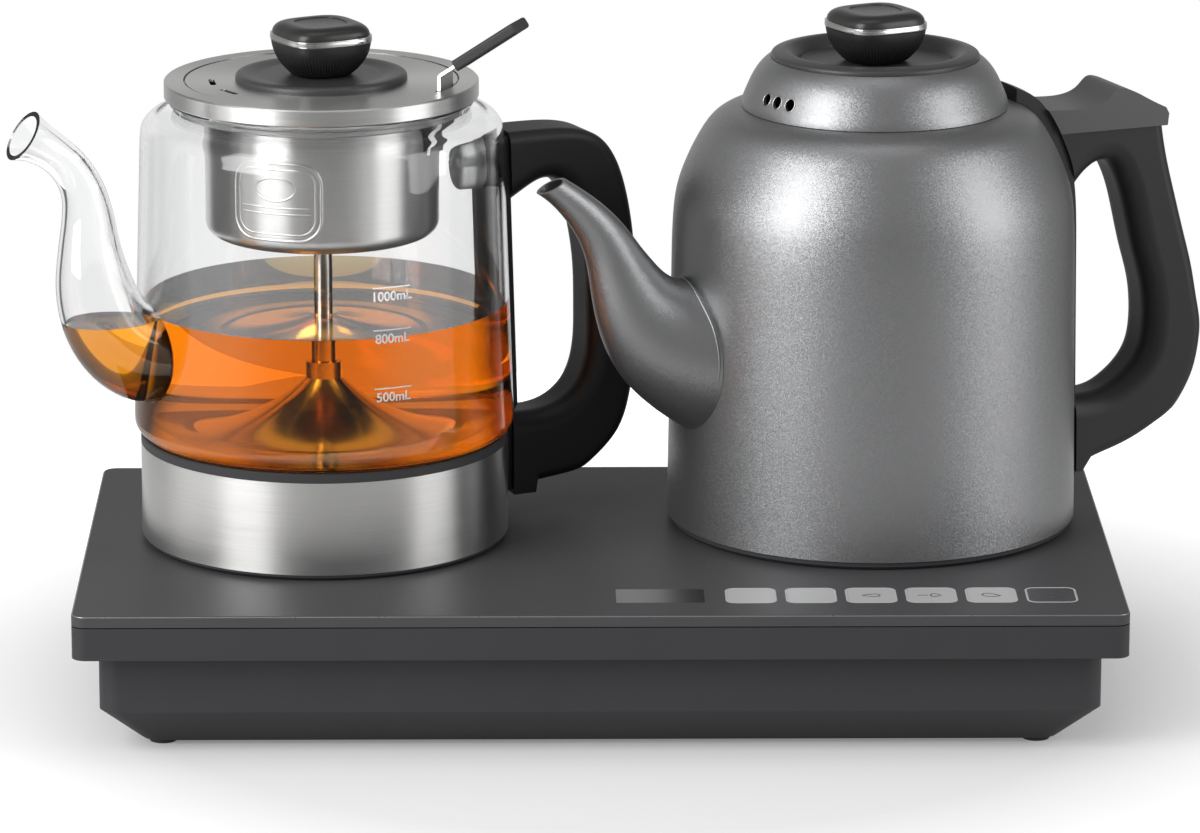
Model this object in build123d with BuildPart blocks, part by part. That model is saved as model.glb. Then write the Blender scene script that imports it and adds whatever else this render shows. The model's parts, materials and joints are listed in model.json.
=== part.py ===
from build123d import *
from math import cos, radians, sin
import os

# Automatic tea maker: a powered base with a touch panel, a glass tea pot with a lift-out
# brewing basket, and a steel kettle. Millimetres, +Z up, the base stands on Z = 0.
# Inside a vessel, r is the distance from its own axis and h the height above the base plate.

os.makedirs("parts", exist_ok=True)


# ---------------------------------------------------------------- shared sizes
fit_gap = 0.1  # between pieces of one body that seat on each other
lift_gap = 0.3  # between pieces that come apart by hand
screw_radius = 1.5
screw_head_radius = 2.8
screw_head_height = 1.8
screw_hole_gap = 0.2

# ---------------------------------------------------------------- base sizes
base_x = -7.84  # base centre, so that the whole part is centred on the Z axis
base_y = -2.1
base_width = 370
base_depth = 201
plate_thickness = 4
plate_corner = 5
plate_edge = 0.7
shadow_gap = 0.4
shadow_inset = 1.6
band_height = 11.6
band_wall = 3
deck_thickness = 2.5
tub_inset = 8.7
tub_straight = 21.5
tub_flare_height = 14.5
tub_flare_inset = 14
tub_corner = 7
tub_wall = 2.5
foot_height = 2
foot_radius = 4.8
foot_pocket = 0.8
foot_inset = 7.5
foot_stem_radius = 1.9

tub_bottom = foot_height
tub_flare_top = tub_bottom + tub_flare_height
tub_top = tub_flare_top + tub_straight
band_top = tub_top + band_height
plate_bottom = band_top + shadow_gap
plate_top = plate_bottom + plate_thickness
deck_top = tub_top + deck_thickness
tub_floor_top = tub_bottom + tub_wall
tub_width = base_width - 2 * tub_inset
tub_depth = base_depth - 2 * tub_inset
tub_bottom_width = tub_width - 2 * tub_flare_inset
tub_bottom_depth = tub_depth - 2 * tub_flare_inset

# touch panel, from the base centre
pad_width = 17.8
pad_depth = 18.8
pad_corner = 3.4
pad_sink = 0.6
pad_pitch = 21.2
pad_first_x = base_width / 2 - 132
pad_y = 24.9 - base_depth / 2
pad_gap = 0.05
display_x = base_width / 2 - 164
display_width = 31
display_depth = 17
control_board_width = 176
control_board_depth = 24
control_board_x = base_width / 2 - 101
board_thickness = 1.6
control_board_post = 5

# power supply inside the tub
power_board_width = 120
power_board_depth = 70
power_board_y = 15
board_post_height = 6
board_post_radius = 3.2
board_hole_inset = 5
transformer_size = (32, 26, 22)

# cord entry at the back
gland_bore_radius = 3.5
gland_body_radius = 6
gland_flange_radius = 8.5
gland_flange_thickness = 2
gland_length = 16
gland_x = 60
gland_height = 27

# ---------------------------------------------------------------- connector sizes
socket_flange_radius = 24
socket_body_radius = 20
socket_boss_radius = 18.5
socket_boss_height = 9
socket_depth = 8
socket_hole_gap = 0.6
live_hole_radius = 2.6
groove_inner_radius = 8
groove_outer_radius = 10.8
contact_depth = 7
contact_gap = 0.7
coupler_wall = 3
coupler_height = 22
coupler_clearance = 0.8

# underside covers, both vessels
cover_thickness = 2.5
cover_wall = 1.8
cover_edge = 1
cover_wall_top = 10
cover_well_top = 8
cover_screw_count = 3
cover_screw_seat = screw_head_height + 1.2
cover_screw_length = 12
post_foot = 9.4
post_radius = 4

# ---------------------------------------------------------------- pot sizes
pot_x = 86 - base_width / 2
pot_y = 10
pot_turn = 25  # handle direction, degrees from +X; the spout points the other way
pot_ring_radius = 66.5
pot_ring_bottom = 2.2
pot_ring_top = 36
pot_ring_wall = 0.8
pot_trim_top = 39.3
trim_ring_depth = 8
pot_foot_radius = pot_ring_radius - 1.3
pot_screw_ring = pot_ring_radius - 13.5
glass_wall = 2.2
spout_glass_wall = 1.8
glass_low_radius = pot_ring_radius + 2.2
glass_high_radius = glass_low_radius - 3.4
glass_high_height = 147.5
glass_bottom_corner = 5.5
glass_floor_hole = pot_ring_radius - 9.5
glass_neck_radius = glass_high_radius - 11.9
glass_neck_start = 158.4
glass_rim_radius = glass_neck_radius + 1.2
glass_rim_thickness = 1.6
glass_rim_top = 161.6
pot_heater_plate_radius = pot_ring_radius - 5
pot_heater_plate_dish = pot_heater_plate_radius - 7.5
pot_seal_thickness = 0.7
plate_metal = 1
heater_disc_radius = 50
heater_disc_thickness = 2
heater_ring_radius = 38
heater_ring_width = 8
heater_ring_height = 7
heater_ring_edge = 1

pot_handle_width = 23
pot_backbone_thickness = 4.6
pot_backbone_width = 19
pot_boss_height = 132.5
pot_ring_screw_height = 33.5
boss_half_width = 7
boss_half_height = 10
boss_depth = 10.5
boss_thread = 6.5
glass_screw_hole = 3.2
boss_neck_radius = 2.9
pot_handle_outer_round = 4
pot_handle_inner_round = 7
handle_seat = 0.2  # between a handle's backbone and the wall it clasps

# ---------------------------------------------------------------- brewing insert sizes
tube_radius = 3.4
tube_wall = 0.7
tube_bottom = 44
tube_top = 152
collar_radius = 5
collar_bottom = 61
collar_top = 68
funnel_radius = glass_neck_radius - glass_wall - 3.7
funnel_top = 62
funnel_thickness = 0.7
funnel_waist_radius = 20
funnel_waist_height = 48.4
funnel_brim_height = 39.6
funnel_shoulder = funnel_radius - 1.2
funnel_slot_count = 6
funnel_slot_start = 5
funnel_slot_width = 9
funnel_slot_height = 1.3
basket_radius = glass_neck_radius - 11.4
basket_metal = 0.8
basket_bottom = 112.6
basket_corner = 5
basket_ring_radius = glass_rim_radius + 1.8
basket_ring_bottom = 162.2
basket_ring_top = 168.4
basket_ring_inner = glass_neck_radius - 4
basket_ledge = 166.9
basket_skirt_radius = glass_neck_radius - glass_wall - 0.8
basket_skirt_bottom = 156
basket_collar_height = 8
basket_hole_radius = 1.3
basket_hole_rings = ((14, 10), (23, 16), (32, 22))
basket_flange_radius = basket_ring_inner - fit_gap
ring_edge = 0.5
seal_gap = 0.15
strap_turn = -19.5
strap_reach = basket_ring_inner - 2.2
strap_width = 13
strap_metal = 1.2
strap_foot = 145
strap_bend = 173.6
strap_rise = 34  # degrees above level, outward
sleeve_start = 7.1
sleeve_length = 27.5
sleeve_thickness = 4.2
sleeve_width = 14
strap_slot_width = 1.4
strap_slot_height = 4.6
strap_slot_bottom = 147
strap_slot_turn = 10.3

# ---------------------------------------------------------------- knob sizes, both lids
knob_side = 32
knob_corner = 9
knob_turn = 28
knob_foot_side = 19
knob_body_height = 12.2
knob_trim_height = 2.6
knob_trim_lip = 0.6
knob_foot_round = 3.2
knob_cap_height = 4
knob_panel_side = 17
knob_panel_corner = 5.5
knob_panel_sink = 0.35

# ---------------------------------------------------------------- pot lid sizes
lid_plate_radius = basket_ring_inner - 0.65
lid_plate_metal = 1
lid_boss_radius = 30.8
lid_boss_crest = 28
lid_boss_height = 2.8
lid_boss_dish = 0.8
lid_boss_dish_radius = 22
lid_slot_radius = 39.2
lid_slot_length = 10.5
lid_slot_width = 2.2
lid_slot_angles = (188, 215)
lid_notch_width = 16

# ---------------------------------------------------------------- kettle sizes
kettle_x = base_width / 2 - 84.5
kettle_y = 30
kettle_turn = 22
kettle_radius = 74.7
kettle_taper_radius = 73.4
kettle_taper_top = 92.5
kettle_metal = 1
kettle_rim_height = 3
kettle_rim_radius = 74
kettle_opening_radius = 44.5
kettle_lip_depth = 6
kettle_floor_height = 27
kettle_screw_ring = 58
kettle_strainer_hole = 2
kettle_stud_radius = 2
kettle_stud_heights = (133, 25)
kettle_stud_reaches = (78.5, 84)
kettle_strainer_height = 64
kettle_strainer_pitch = 7
kettle_floor_radius = 73.1
kettle_floor_skirt = 5
kettle_mouth_edge = (133.2, 131.8)
kettle_mouth_tilt = 65
kettle_handle_width = 24
kettle_handle_outer_round = 4
kettle_handle_inner_round = 8
kettle_backbone_width = 21
kettle_backbone_thickness = 4.6
kettle_backbone_reach = 52
backbone_foot = 10
thumb_plate_width = 26
thumb_plate_bottom = 140
thumb_plate_round = 1.5
nut_radius = 3.8
nut_height = 3

# ---------------------------------------------------------------- kettle lid sizes
cone_base_radius = 48.3
cone_base_height = 154.5
cone_metal = 1
disc_radius = 37.7
disc_seat = 172.2
disc_recess = 170.6
disc_plug_radius = 33.8
disc_bottom = 167.5
disc_crest = 174.8
liner_radius = 43.6
liner_bottom = 142
vent_radius = 2.1
vent_height = 161
vent_angles = (210.5, 218, 226)


# ---------------------------------------------------------------- frames and helpers
def base_plane(height):
    """Plane parallel to the floor, at a height, with its origin on the base's centre."""
    return Plane((base_x, base_y, height))


def vessel_side(origin, turn):
    """Upright plane through a vessel's axis: x runs outward along its turn, y runs up."""
    direction = (cos(radians(turn)), sin(radians(turn)), 0)
    normal = (sin(radians(turn)), -cos(radians(turn)), 0)
    return Plane(origin=origin, x_dir=direction, z_dir=normal)


def vessel_level(origin, turn, height):
    """Level plane at a height above the base plate, with x along the vessel's turn."""
    direction = (cos(radians(turn)), sin(radians(turn)), 0)
    return Plane(origin=(origin[0], origin[1], origin[2] + height), x_dir=direction, z_dir=(0, 0, 1))


def spout_section(side, reach, height, pitch):
    """Plane square to a spout's path at a point given by reach, height and pitch in degrees."""
    centre = side.from_local_coords((reach, height, 0))
    forward = side.x_dir * cos(radians(pitch)) + side.y_dir * sin(radians(pitch))
    return Plane(origin=centre, x_dir=side.z_dir, z_dir=forward)


def handle_bore(side, height):
    """Upright plane at a vessel's axis and a height, facing out toward its handle."""
    return Plane(origin=side.from_local_coords((0, height, 0)), x_dir=side.z_dir, z_dir=side.x_dir)


def save(name, part):
    """Labels a finished piece and writes it to its own file."""
    part.label = name
    export_step(part, f"parts/{name}.step")


pot_origin = (base_x + pot_x, base_y + pot_y, plate_top)
kettle_origin = (base_x + kettle_x, base_y + kettle_y, plate_top)
pot_axis = Axis(pot_origin, (0, 0, 1))
kettle_axis = Axis(kettle_origin, (0, 0, 1))
pot_side = vessel_side(pot_origin, pot_turn)
pot_spout_side = vessel_side(pot_origin, pot_turn + 180)
kettle_side = vessel_side(kettle_origin, kettle_turn)
kettle_spout_side = vessel_side(kettle_origin, kettle_turn + 180)

vessels = ((pot_origin, pot_axis, pot_side, "pot"), (kettle_origin, kettle_axis, kettle_side, "kettle"))
socket_places = ((pot_x, pot_y), (kettle_x, kettle_y))
pad_places = [(pad_first_x + index * pad_pitch, pad_y) for index in range(6)]
screw_x = tub_bottom_width / 2 - 10
screw_y = tub_bottom_depth / 2 - 10
screw_places = [(x, y) for x in (-screw_x, 0, screw_x) for y in (-screw_y, screw_y)]
foot_places = [
    (x, y)
    for x in (-tub_bottom_width / 2 + foot_inset, tub_bottom_width / 2 - foot_inset)
    for y in (-tub_bottom_depth / 2 + foot_inset, tub_bottom_depth / 2 - foot_inset)
]

# ================================================================ base
with BuildPart() as glass_top_plate:
    with BuildSketch(base_plane(plate_bottom)):
        RectangleRounded(base_width, base_depth, plate_corner)
        with Locations(*socket_places):
            Circle(socket_body_radius + socket_hole_gap, mode=Mode.SUBTRACT)
    extrude(amount=plate_thickness)
    chamfer(glass_top_plate.faces().sort_by(Axis.Z)[-1].outer_wire().edges(), plate_edge)
    with BuildSketch(base_plane(plate_top - pad_sink)):
        with Locations(*pad_places):
            RectangleRounded(pad_width + 2 * pad_gap, pad_depth + 2 * pad_gap, pad_corner)
        with Locations((display_x, pad_y)):
            Rectangle(display_width + 2 * pad_gap, display_depth + 2 * pad_gap)
    extrude(amount=pad_sink, mode=Mode.SUBTRACT)
save("glass_top_plate", glass_top_plate.part)

with BuildPart() as touch_pads:
    with BuildSketch(base_plane(plate_top - pad_sink)):
        with Locations(*pad_places[:-1]):
            RectangleRounded(pad_width, pad_depth, pad_corner)
    extrude(amount=pad_sink)
save("touch_pads", touch_pads.part)

with BuildPart() as power_pad:
    with BuildSketch(base_plane(plate_top - pad_sink)):
        with Locations(pad_places[-1]):
            RectangleRounded(pad_width, pad_depth, pad_corner)
    extrude(amount=pad_sink)
save("power_pad", power_pad.part)

with BuildPart() as display_window:
    with BuildSketch(base_plane(plate_top - pad_sink)):
        with Locations((display_x, pad_y)):
            Rectangle(display_width, display_depth)
    extrude(amount=pad_sink)
save("display_window", display_window.part)

# The frame is a tray: an upright band around a deck that carries the plate and the sockets.
deck_window_depth = 2 * screw_y - 24
with BuildPart() as top_frame:
    with BuildSketch(base_plane(tub_top)):
        RectangleRounded(base_width, base_depth, plate_corner)
    extrude(amount=band_height)
    with BuildSketch(base_plane(band_top)):
        RectangleRounded(
            base_width - 2 * shadow_inset, base_depth - 2 * shadow_inset, plate_corner - shadow_inset
        )
    extrude(amount=shadow_gap)
    with BuildSketch(base_plane(deck_top)):
        RectangleRounded(base_width - 2 * band_wall, base_depth - 2 * band_wall, plate_corner - band_wall)
    extrude(amount=plate_bottom - deck_top, mode=Mode.SUBTRACT)
    with BuildSketch(base_plane(tub_top)):
        with Locations(*socket_places):
            Circle(socket_body_radius + socket_hole_gap)
        Rectangle(90, deck_window_depth)
        with Locations((control_board_x, pad_y + control_board_depth)):
            RectangleRounded(control_board_width - 20, 12, 3)
    extrude(amount=deck_thickness, mode=Mode.SUBTRACT)
    # posts under the control board and bosses over the base screws
    with BuildSketch(base_plane(deck_top)):
        with Locations((control_board_x, pad_y)):
            with GridLocations(control_board_width - 12, control_board_depth - 10, 2, 2):
                Circle(board_post_radius)
    extrude(amount=control_board_post)
    with BuildSketch(base_plane(deck_top)):
        with Locations(*screw_places):
            Circle(screw_radius + 2.2)
    extrude(amount=control_board_post)
    with BuildSketch(base_plane(tub_top)):
        with Locations(*screw_places):
            Circle(screw_radius + fit_gap)
    extrude(amount=deck_thickness + control_board_post, mode=Mode.SUBTRACT)
save("top_frame", top_frame.part)

with BuildPart() as control_board:
    with BuildSketch(base_plane(deck_top + control_board_post)):
        with Locations((control_board_x, pad_y)):
            Rectangle(control_board_width, control_board_depth)
    extrude(amount=board_thickness)
save("control_board", control_board.part)


def tub_form(inset, bottom):
    """The tub's form as one solid: a flared foot below straight sides, drawn in by inset."""
    with BuildPart() as form:
        with BuildSketch(base_plane(bottom)):
            RectangleRounded(tub_bottom_width - 2 * inset, tub_bottom_depth - 2 * inset, tub_corner - inset)
        with BuildSketch(base_plane(tub_flare_top)) as waist:
            RectangleRounded(tub_width - 2 * inset, tub_depth - 2 * inset, tub_corner - inset)
        loft()
        extrude(waist.sketch, amount=tub_straight, dir=(0, 0, 1))
    return form.part


screw_seat = tub_top - 4
gland_mouth = base_y + tub_depth / 2 + gland_flange_thickness
gland_plane = Plane(origin=(base_x + gland_x, gland_mouth, gland_height), x_dir=(1, 0, 0), z_dir=(0, -1, 0))
with BuildPart() as base_tub:
    add(tub_form(0, tub_bottom))
    add(tub_form(tub_wall, tub_floor_top), mode=Mode.SUBTRACT)
    # screw towers, hollow from below for the screw heads
    with BuildSketch(base_plane(tub_floor_top)):
        with Locations(*screw_places):
            Circle(screw_head_radius + screw_hole_gap + 2)
    extrude(amount=tub_top - tub_floor_top)
    with BuildSketch(base_plane(tub_bottom)):
        with Locations(*screw_places):
            Circle(screw_head_radius + screw_hole_gap)
    extrude(amount=screw_seat - tub_bottom, mode=Mode.SUBTRACT)
    with BuildSketch(base_plane(screw_seat)):
        with Locations(*screw_places):
            Circle(screw_radius + screw_hole_gap)
    extrude(amount=tub_top - screw_seat, mode=Mode.SUBTRACT)
    # posts under the power board
    with BuildSketch(base_plane(tub_floor_top)):
        with Locations((0, power_board_y)):
            with GridLocations(
                power_board_width - 2 * board_hole_inset, power_board_depth - 2 * board_hole_inset, 2, 2
            ):
                Circle(board_post_radius)
    extrude(amount=board_post_height)
    # air slots in the floor
    with BuildSketch(base_plane(tub_bottom)):
        with GridLocations(12, 0, 8, 1):
            with Locations((0, -35)):
                SlotOverall(40, 3, rotation=90)
    extrude(amount=tub_wall, mode=Mode.SUBTRACT)
    # feet: a shallow pocket and a hole for the stem
    with BuildSketch(base_plane(tub_bottom)):
        with Locations(*foot_places):
            Circle(foot_radius + fit_gap)
    extrude(amount=foot_pocket, mode=Mode.SUBTRACT)
    with BuildSketch(base_plane(tub_bottom)):
        with Locations(*foot_places):
            Circle(foot_stem_radius + fit_gap)
    extrude(amount=tub_wall, mode=Mode.SUBTRACT)
    # cord entry in the back wall
    with BuildSketch(gland_plane):
        Circle(gland_body_radius + fit_gap)
    extrude(amount=gland_length, mode=Mode.SUBTRACT)
save("base_tub", base_tub.part)

with BuildPart() as rubber_feet:
    with BuildSketch(base_plane(0)):
        with Locations(*foot_places):
            Circle(foot_radius)
    extrude(amount=foot_height + foot_pocket)
    with BuildSketch(base_plane(foot_height + foot_pocket)):
        with Locations(*foot_places):
            Circle(foot_stem_radius)
    extrude(amount=tub_wall - foot_pocket)
save("rubber_feet", rubber_feet.part)

with BuildPart() as base_screws:
    with BuildSketch(base_plane(screw_seat)):
        with Locations(*screw_places):
            Circle(screw_head_radius)
    extrude(amount=-screw_head_height)
    with BuildSketch(base_plane(screw_seat)):
        with Locations(*screw_places):
            Circle(screw_radius)
    extrude(amount=tub_top - screw_seat + deck_thickness + control_board_post - 1)
save("base_screws", base_screws.part)

power_board_bottom = tub_floor_top + board_post_height
with BuildPart() as power_board:
    with BuildSketch(base_plane(power_board_bottom)):
        with Locations((0, power_board_y)):
            Rectangle(power_board_width, power_board_depth)
    extrude(amount=board_thickness)
save("power_board", power_board.part)

with BuildPart() as transformer:
    with BuildSketch(base_plane(power_board_bottom + board_thickness)):
        with Locations((-30, power_board_y)):
            Rectangle(transformer_size[0], transformer_size[1])
    extrude(amount=transformer_size[2])
    chamfer(transformer.edges().filter_by(Axis.Z), 2)
save("transformer", transformer.part)

with BuildPart() as cord_gland:
    with BuildSketch(gland_plane):
        Circle(gland_flange_radius)
    extrude(amount=gland_flange_thickness)
    fillet(cord_gland.faces().sort_by(Axis.Y)[-1].edges(), 0.8)
    with BuildSketch(gland_plane.offset(gland_flange_thickness)):
        Circle(gland_body_radius)
    extrude(amount=gland_length - gland_flange_thickness)
    with BuildSketch(gland_plane):
        Circle(gland_bore_radius)
    extrude(amount=gland_length, mode=Mode.SUBTRACT)
save("cord_gland", cord_gland.part)

# ================================================================ power connectors
deck_level = deck_top - plate_top
for origin, axis, side, vessel in vessels:
    with BuildPart() as socket:
        with BuildSketch(side):
            with BuildLine():
                Polyline(
                    (live_hole_radius, socket_boss_height),
                    (groove_inner_radius, socket_boss_height),
                    (groove_inner_radius, socket_boss_height - contact_depth - contact_gap),
                    (groove_outer_radius, socket_boss_height - contact_depth - contact_gap),
                    (groove_outer_radius, socket_boss_height),
                    (socket_boss_radius - 1, socket_boss_height),
                    (socket_boss_radius, socket_boss_height - 1),
                    (socket_boss_radius, 1),
                    (socket_body_radius, 1),
                    (socket_body_radius, deck_level + deck_thickness),
                    (socket_flange_radius, deck_level + deck_thickness),
                    (socket_flange_radius, deck_level),
                    (socket_body_radius, deck_level),
                    (socket_body_radius, deck_level - socket_depth),
                    (0, deck_level - socket_depth),
                    (0, socket_boss_height - contact_depth - contact_gap),
                    (live_hole_radius, socket_boss_height - contact_depth - contact_gap),
                    close=True,
                )
            make_face()
        revolve(axis=axis)
    save(f"{vessel}_socket", socket.part)

    # The coupler in the vessel's foot drops over the socket's boss; its pin and ring reach in.
    recess_top = socket_boss_height + coupler_clearance
    recess_radius = socket_boss_radius + coupler_clearance
    contact_tip = socket_boss_height - contact_depth
    ring_inner = groove_inner_radius + contact_gap
    ring_outer = groove_outer_radius - contact_gap
    with BuildPart() as coupler:
        with BuildSketch(side):
            with BuildLine():
                Polyline(
                    (0, contact_tip),
                    (live_hole_radius - contact_gap, contact_tip),
                    (live_hole_radius - contact_gap, recess_top),
                    (ring_inner, recess_top),
                    (ring_inner, contact_tip),
                    (ring_outer, contact_tip),
                    (ring_outer, recess_top),
                    (recess_radius, recess_top),
                    (recess_radius, 1.2),
                    (recess_radius + coupler_wall, 1.2),
                    (recess_radius + coupler_wall, coupler_height),
                    (0, coupler_height),
                    close=True,
                )
            make_face()
        revolve(axis=axis)
    save(f"{vessel}_coupler", coupler.part)

coupler_radius = recess_radius + coupler_wall


def bottom_cover(side, axis, rim_radius, rim_top, wall_radius, screw_ring):
    """A vessel's underside cover: a plate with a rim, an upstand, a coupler well and screw holes."""
    well_radius = coupler_radius + fit_gap
    plate_level = lift_gap + cover_thickness
    with BuildPart() as cover:
        with BuildSketch(side):
            with BuildLine():
                Polyline(
                    (well_radius, lift_gap),
                    (rim_radius - cover_edge, lift_gap),
                    (rim_radius, lift_gap + cover_edge),
                    (rim_radius, rim_top),
                    (wall_radius, rim_top),
                    (wall_radius, cover_wall_top),
                    (wall_radius - cover_wall, cover_wall_top),
                    (wall_radius - cover_wall, plate_level),
                    (well_radius + cover_wall, plate_level),
                    (well_radius + cover_wall, cover_well_top),
                    (well_radius, cover_well_top),
                    close=True,
                )
            make_face()
        revolve(axis=axis)
        level = Plane(origin=(side.origin.X, side.origin.Y, plate_top), x_dir=side.x_dir, z_dir=(0, 0, 1))
        # a thick pad round each screw, then the hole and the sunk seat for its head
        with BuildSketch(level.offset(lift_gap)):
            with PolarLocations(screw_ring, cover_screw_count):
                Circle(screw_head_radius + screw_hole_gap + cover_wall)
        extrude(amount=post_foot - fit_gap - lift_gap)
        with BuildSketch(level):
            with PolarLocations(screw_ring, cover_screw_count):
                Circle(screw_radius + screw_hole_gap)
        extrude(amount=post_foot, mode=Mode.SUBTRACT)
        with BuildSketch(level):
            with PolarLocations(screw_ring, cover_screw_count):
                Circle(screw_head_radius + screw_hole_gap)
        extrude(amount=cover_screw_seat, mode=Mode.SUBTRACT)
    return cover.part


def cover_screws(origin, turn, screw_ring):
    """Screws that hold a bottom cover, heads down, one solid each."""
    with BuildPart() as screws:
        with BuildSketch(vessel_level(origin, turn, cover_screw_seat)):
            with PolarLocations(screw_ring, cover_screw_count):
                Circle(screw_head_radius)
        extrude(amount=-screw_head_height)
        with BuildSketch(vessel_level(origin, turn, cover_screw_seat)):
            with PolarLocations(screw_ring, cover_screw_count):
                Circle(screw_radius)
        extrude(amount=cover_screw_length)
    return screws.part


def cover_post(origin, turn, screw_ring, top):
    """Posts above a bottom cover that take its screws."""
    with BuildPart() as posts:
        with BuildSketch(vessel_level(origin, turn, post_foot)):
            with PolarLocations(screw_ring, cover_screw_count):
                Circle(post_radius)
                Circle(screw_radius + fit_gap, mode=Mode.SUBTRACT)
        extrude(amount=cover_screw_length)
        with BuildSketch(vessel_level(origin, turn, post_foot + cover_screw_length)):
            with PolarLocations(screw_ring, cover_screw_count):
                Circle(post_radius)
        extrude(amount=top - post_foot - cover_screw_length)
    return posts.part


# ================================================================ glass pot
pot_cover_rim_radius = pot_ring_radius - pot_ring_wall / 2
save(
    "pot_bottom_cover",
    bottom_cover(
        pot_side, pot_axis, pot_cover_rim_radius, pot_ring_bottom - fit_gap, pot_foot_radius, pot_screw_ring
    ),
)
save("pot_cover_screws", cover_screws(pot_origin, pot_turn, pot_screw_ring))

with BuildPart() as pot_base_ring:
    with BuildSketch(pot_side):
        with Locations((pot_ring_radius - pot_ring_wall / 2, (pot_ring_bottom + pot_ring_top) / 2)):
            Rectangle(pot_ring_wall, pot_ring_top - pot_ring_bottom)
    revolve(axis=pot_axis)
    with BuildSketch(handle_bore(pot_side, pot_ring_screw_height)):
        Circle(screw_radius + screw_hole_gap)
    extrude(amount=pot_ring_radius, mode=Mode.SUBTRACT)
save("pot_base_ring", pot_base_ring.part)

# The trim ring carries the heating plate and the glass, and holds the screw posts.
seal_top = pot_trim_top + fit_gap
plate_seat = seal_top - pot_seal_thickness - plate_metal
ring_inside = pot_ring_radius - pot_ring_wall - fit_gap
with BuildPart() as pot_trim_ring:
    with BuildSketch(pot_side):
        with BuildLine():
            Polyline(
                (pot_heater_plate_dish + 1.5, plate_seat),
                (pot_heater_plate_radius + fit_gap, plate_seat),
                (pot_heater_plate_radius + fit_gap, pot_trim_top),
                (pot_ring_radius - 0.5, pot_trim_top),
                (pot_ring_radius, pot_trim_top - 0.5),
                (pot_ring_radius, pot_ring_top + fit_gap),
                (ring_inside, pot_ring_top + fit_gap),
                (ring_inside, pot_ring_top - trim_ring_depth),
                (pot_heater_plate_dish + 1.5, pot_ring_top - trim_ring_depth),
                close=True,
            )
        make_face()
    revolve(axis=pot_axis)
    add(cover_post(pot_origin, pot_turn, pot_screw_ring, pot_ring_top - 3))
    with BuildSketch(handle_bore(pot_side, pot_ring_screw_height)):
        Circle(screw_radius + fit_gap)
    extrude(amount=pot_ring_radius, mode=Mode.SUBTRACT)
save("pot_trim_ring", pot_trim_ring.part)

with BuildPart() as pot_heater_plate:
    with BuildSketch(pot_side):
        with BuildLine():
            Polyline(
                (0, plate_seat - 2),
                (pot_heater_plate_dish - 1, plate_seat - 2),
                (pot_heater_plate_dish + 1, plate_seat),
                (pot_heater_plate_radius, plate_seat),
                (pot_heater_plate_radius, plate_seat + plate_metal),
                (pot_heater_plate_dish, plate_seat + plate_metal),
                (pot_heater_plate_dish - 2, plate_seat + plate_metal - 2),
                (0, plate_seat + plate_metal - 2),
                close=True,
            )
        make_face()
    revolve(axis=pot_axis)
save("pot_heater_plate", pot_heater_plate.part)
pot_floor = plate_seat + plate_metal - 2

with BuildPart() as pot_floor_seal:
    with BuildSketch(pot_side):
        seal_middle = (glass_floor_hole + pot_heater_plate_radius) / 2
        with Locations((seal_middle, seal_top - pot_seal_thickness / 2)):
            Rectangle(pot_heater_plate_radius - glass_floor_hole, pot_seal_thickness)
    revolve(axis=pot_axis)
save("pot_floor_seal", pot_floor_seal.part)


def heater(side, axis, top):
    """A heating element: a spreader disc with a tubular ring soldered below it."""
    disc_bottom = top - heater_disc_thickness
    ring_outer = heater_ring_radius + heater_ring_width / 2
    ring_inner = heater_ring_radius - heater_ring_width / 2
    with BuildPart() as element:
        with BuildSketch(side):
            with BuildLine():
                Polyline(
                    (0, top),
                    (heater_disc_radius, top),
                    (heater_disc_radius, disc_bottom),
                    (ring_outer, disc_bottom),
                    (ring_outer - heater_ring_edge, disc_bottom - heater_ring_height),
                    (ring_inner + heater_ring_edge, disc_bottom - heater_ring_height),
                    (ring_inner, disc_bottom),
                    (0, disc_bottom),
                    close=True,
                )
            make_face()
        revolve(axis=axis)
    return element.part


save("pot_heater", heater(pot_side, pot_axis, plate_seat - 2))


# The glass body narrows upward, turns in to a neck with a rolled rim, and carries the spout.
def glass_form(inset, floor):
    """The pot's body as one solid up to its rim, drawn in by inset from the outer face."""
    low = glass_low_radius - inset
    high = glass_high_radius - inset
    corner = glass_bottom_corner - inset
    neck = glass_neck_radius - inset
    neck_start = glass_neck_start - inset * 0.8
    with BuildPart() as form:
        with BuildSketch(pot_spout_side):
            with BuildLine():
                Polyline((neck, glass_rim_top), (0, glass_rim_top), (0, floor), (low - corner, floor))
                RadiusArc((low - corner, floor), (low, floor + corner), -corner)
                Line((low, floor + corner), (high, glass_high_height))
                Spline(
                    (high, glass_high_height),
                    (high - 0.8, glass_high_height + 4.7 - inset * 0.3),
                    (high - 4, glass_high_height + 8.2 - inset * 0.7),
                    (neck, neck_start),
                    tangents=((-0.04, 1), (-1, 0.3)),
                )
                Line((neck, neck_start), (neck, glass_rim_top))
            make_face()
        revolve(axis=pot_axis)
    return form.part


# spout stations: reach, height, pitch of the path, half height and half width of the section
pot_spout_stations = (
    (58, 72.5, 4, 17.6, 17.0),
    (70, 74.6, 20, 17.4, 16.6),
    (80, 81.6, 44, 16.4, 15.6),
    (86.2, 92.2, 62, 15.2, 14.4),
    (89.2, 104, 76, 13.4, 12.8),
    (90.2, 116, 84, 11.0, 10.6),
    (90.6, 127, 82, 9.2, 9.0),
    (92.4, 136.5, 70, 7.8, 7.7),
    (97.4, 145.4, 52, 7.0, 6.9),
    (104.0, 151.6, 39, 7.0, 6.9),
    (110.0, 155.6, 34, 8.0, 7.9),
    (114.2, 157.9, 33, 9.6, 9.5),
)


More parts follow.
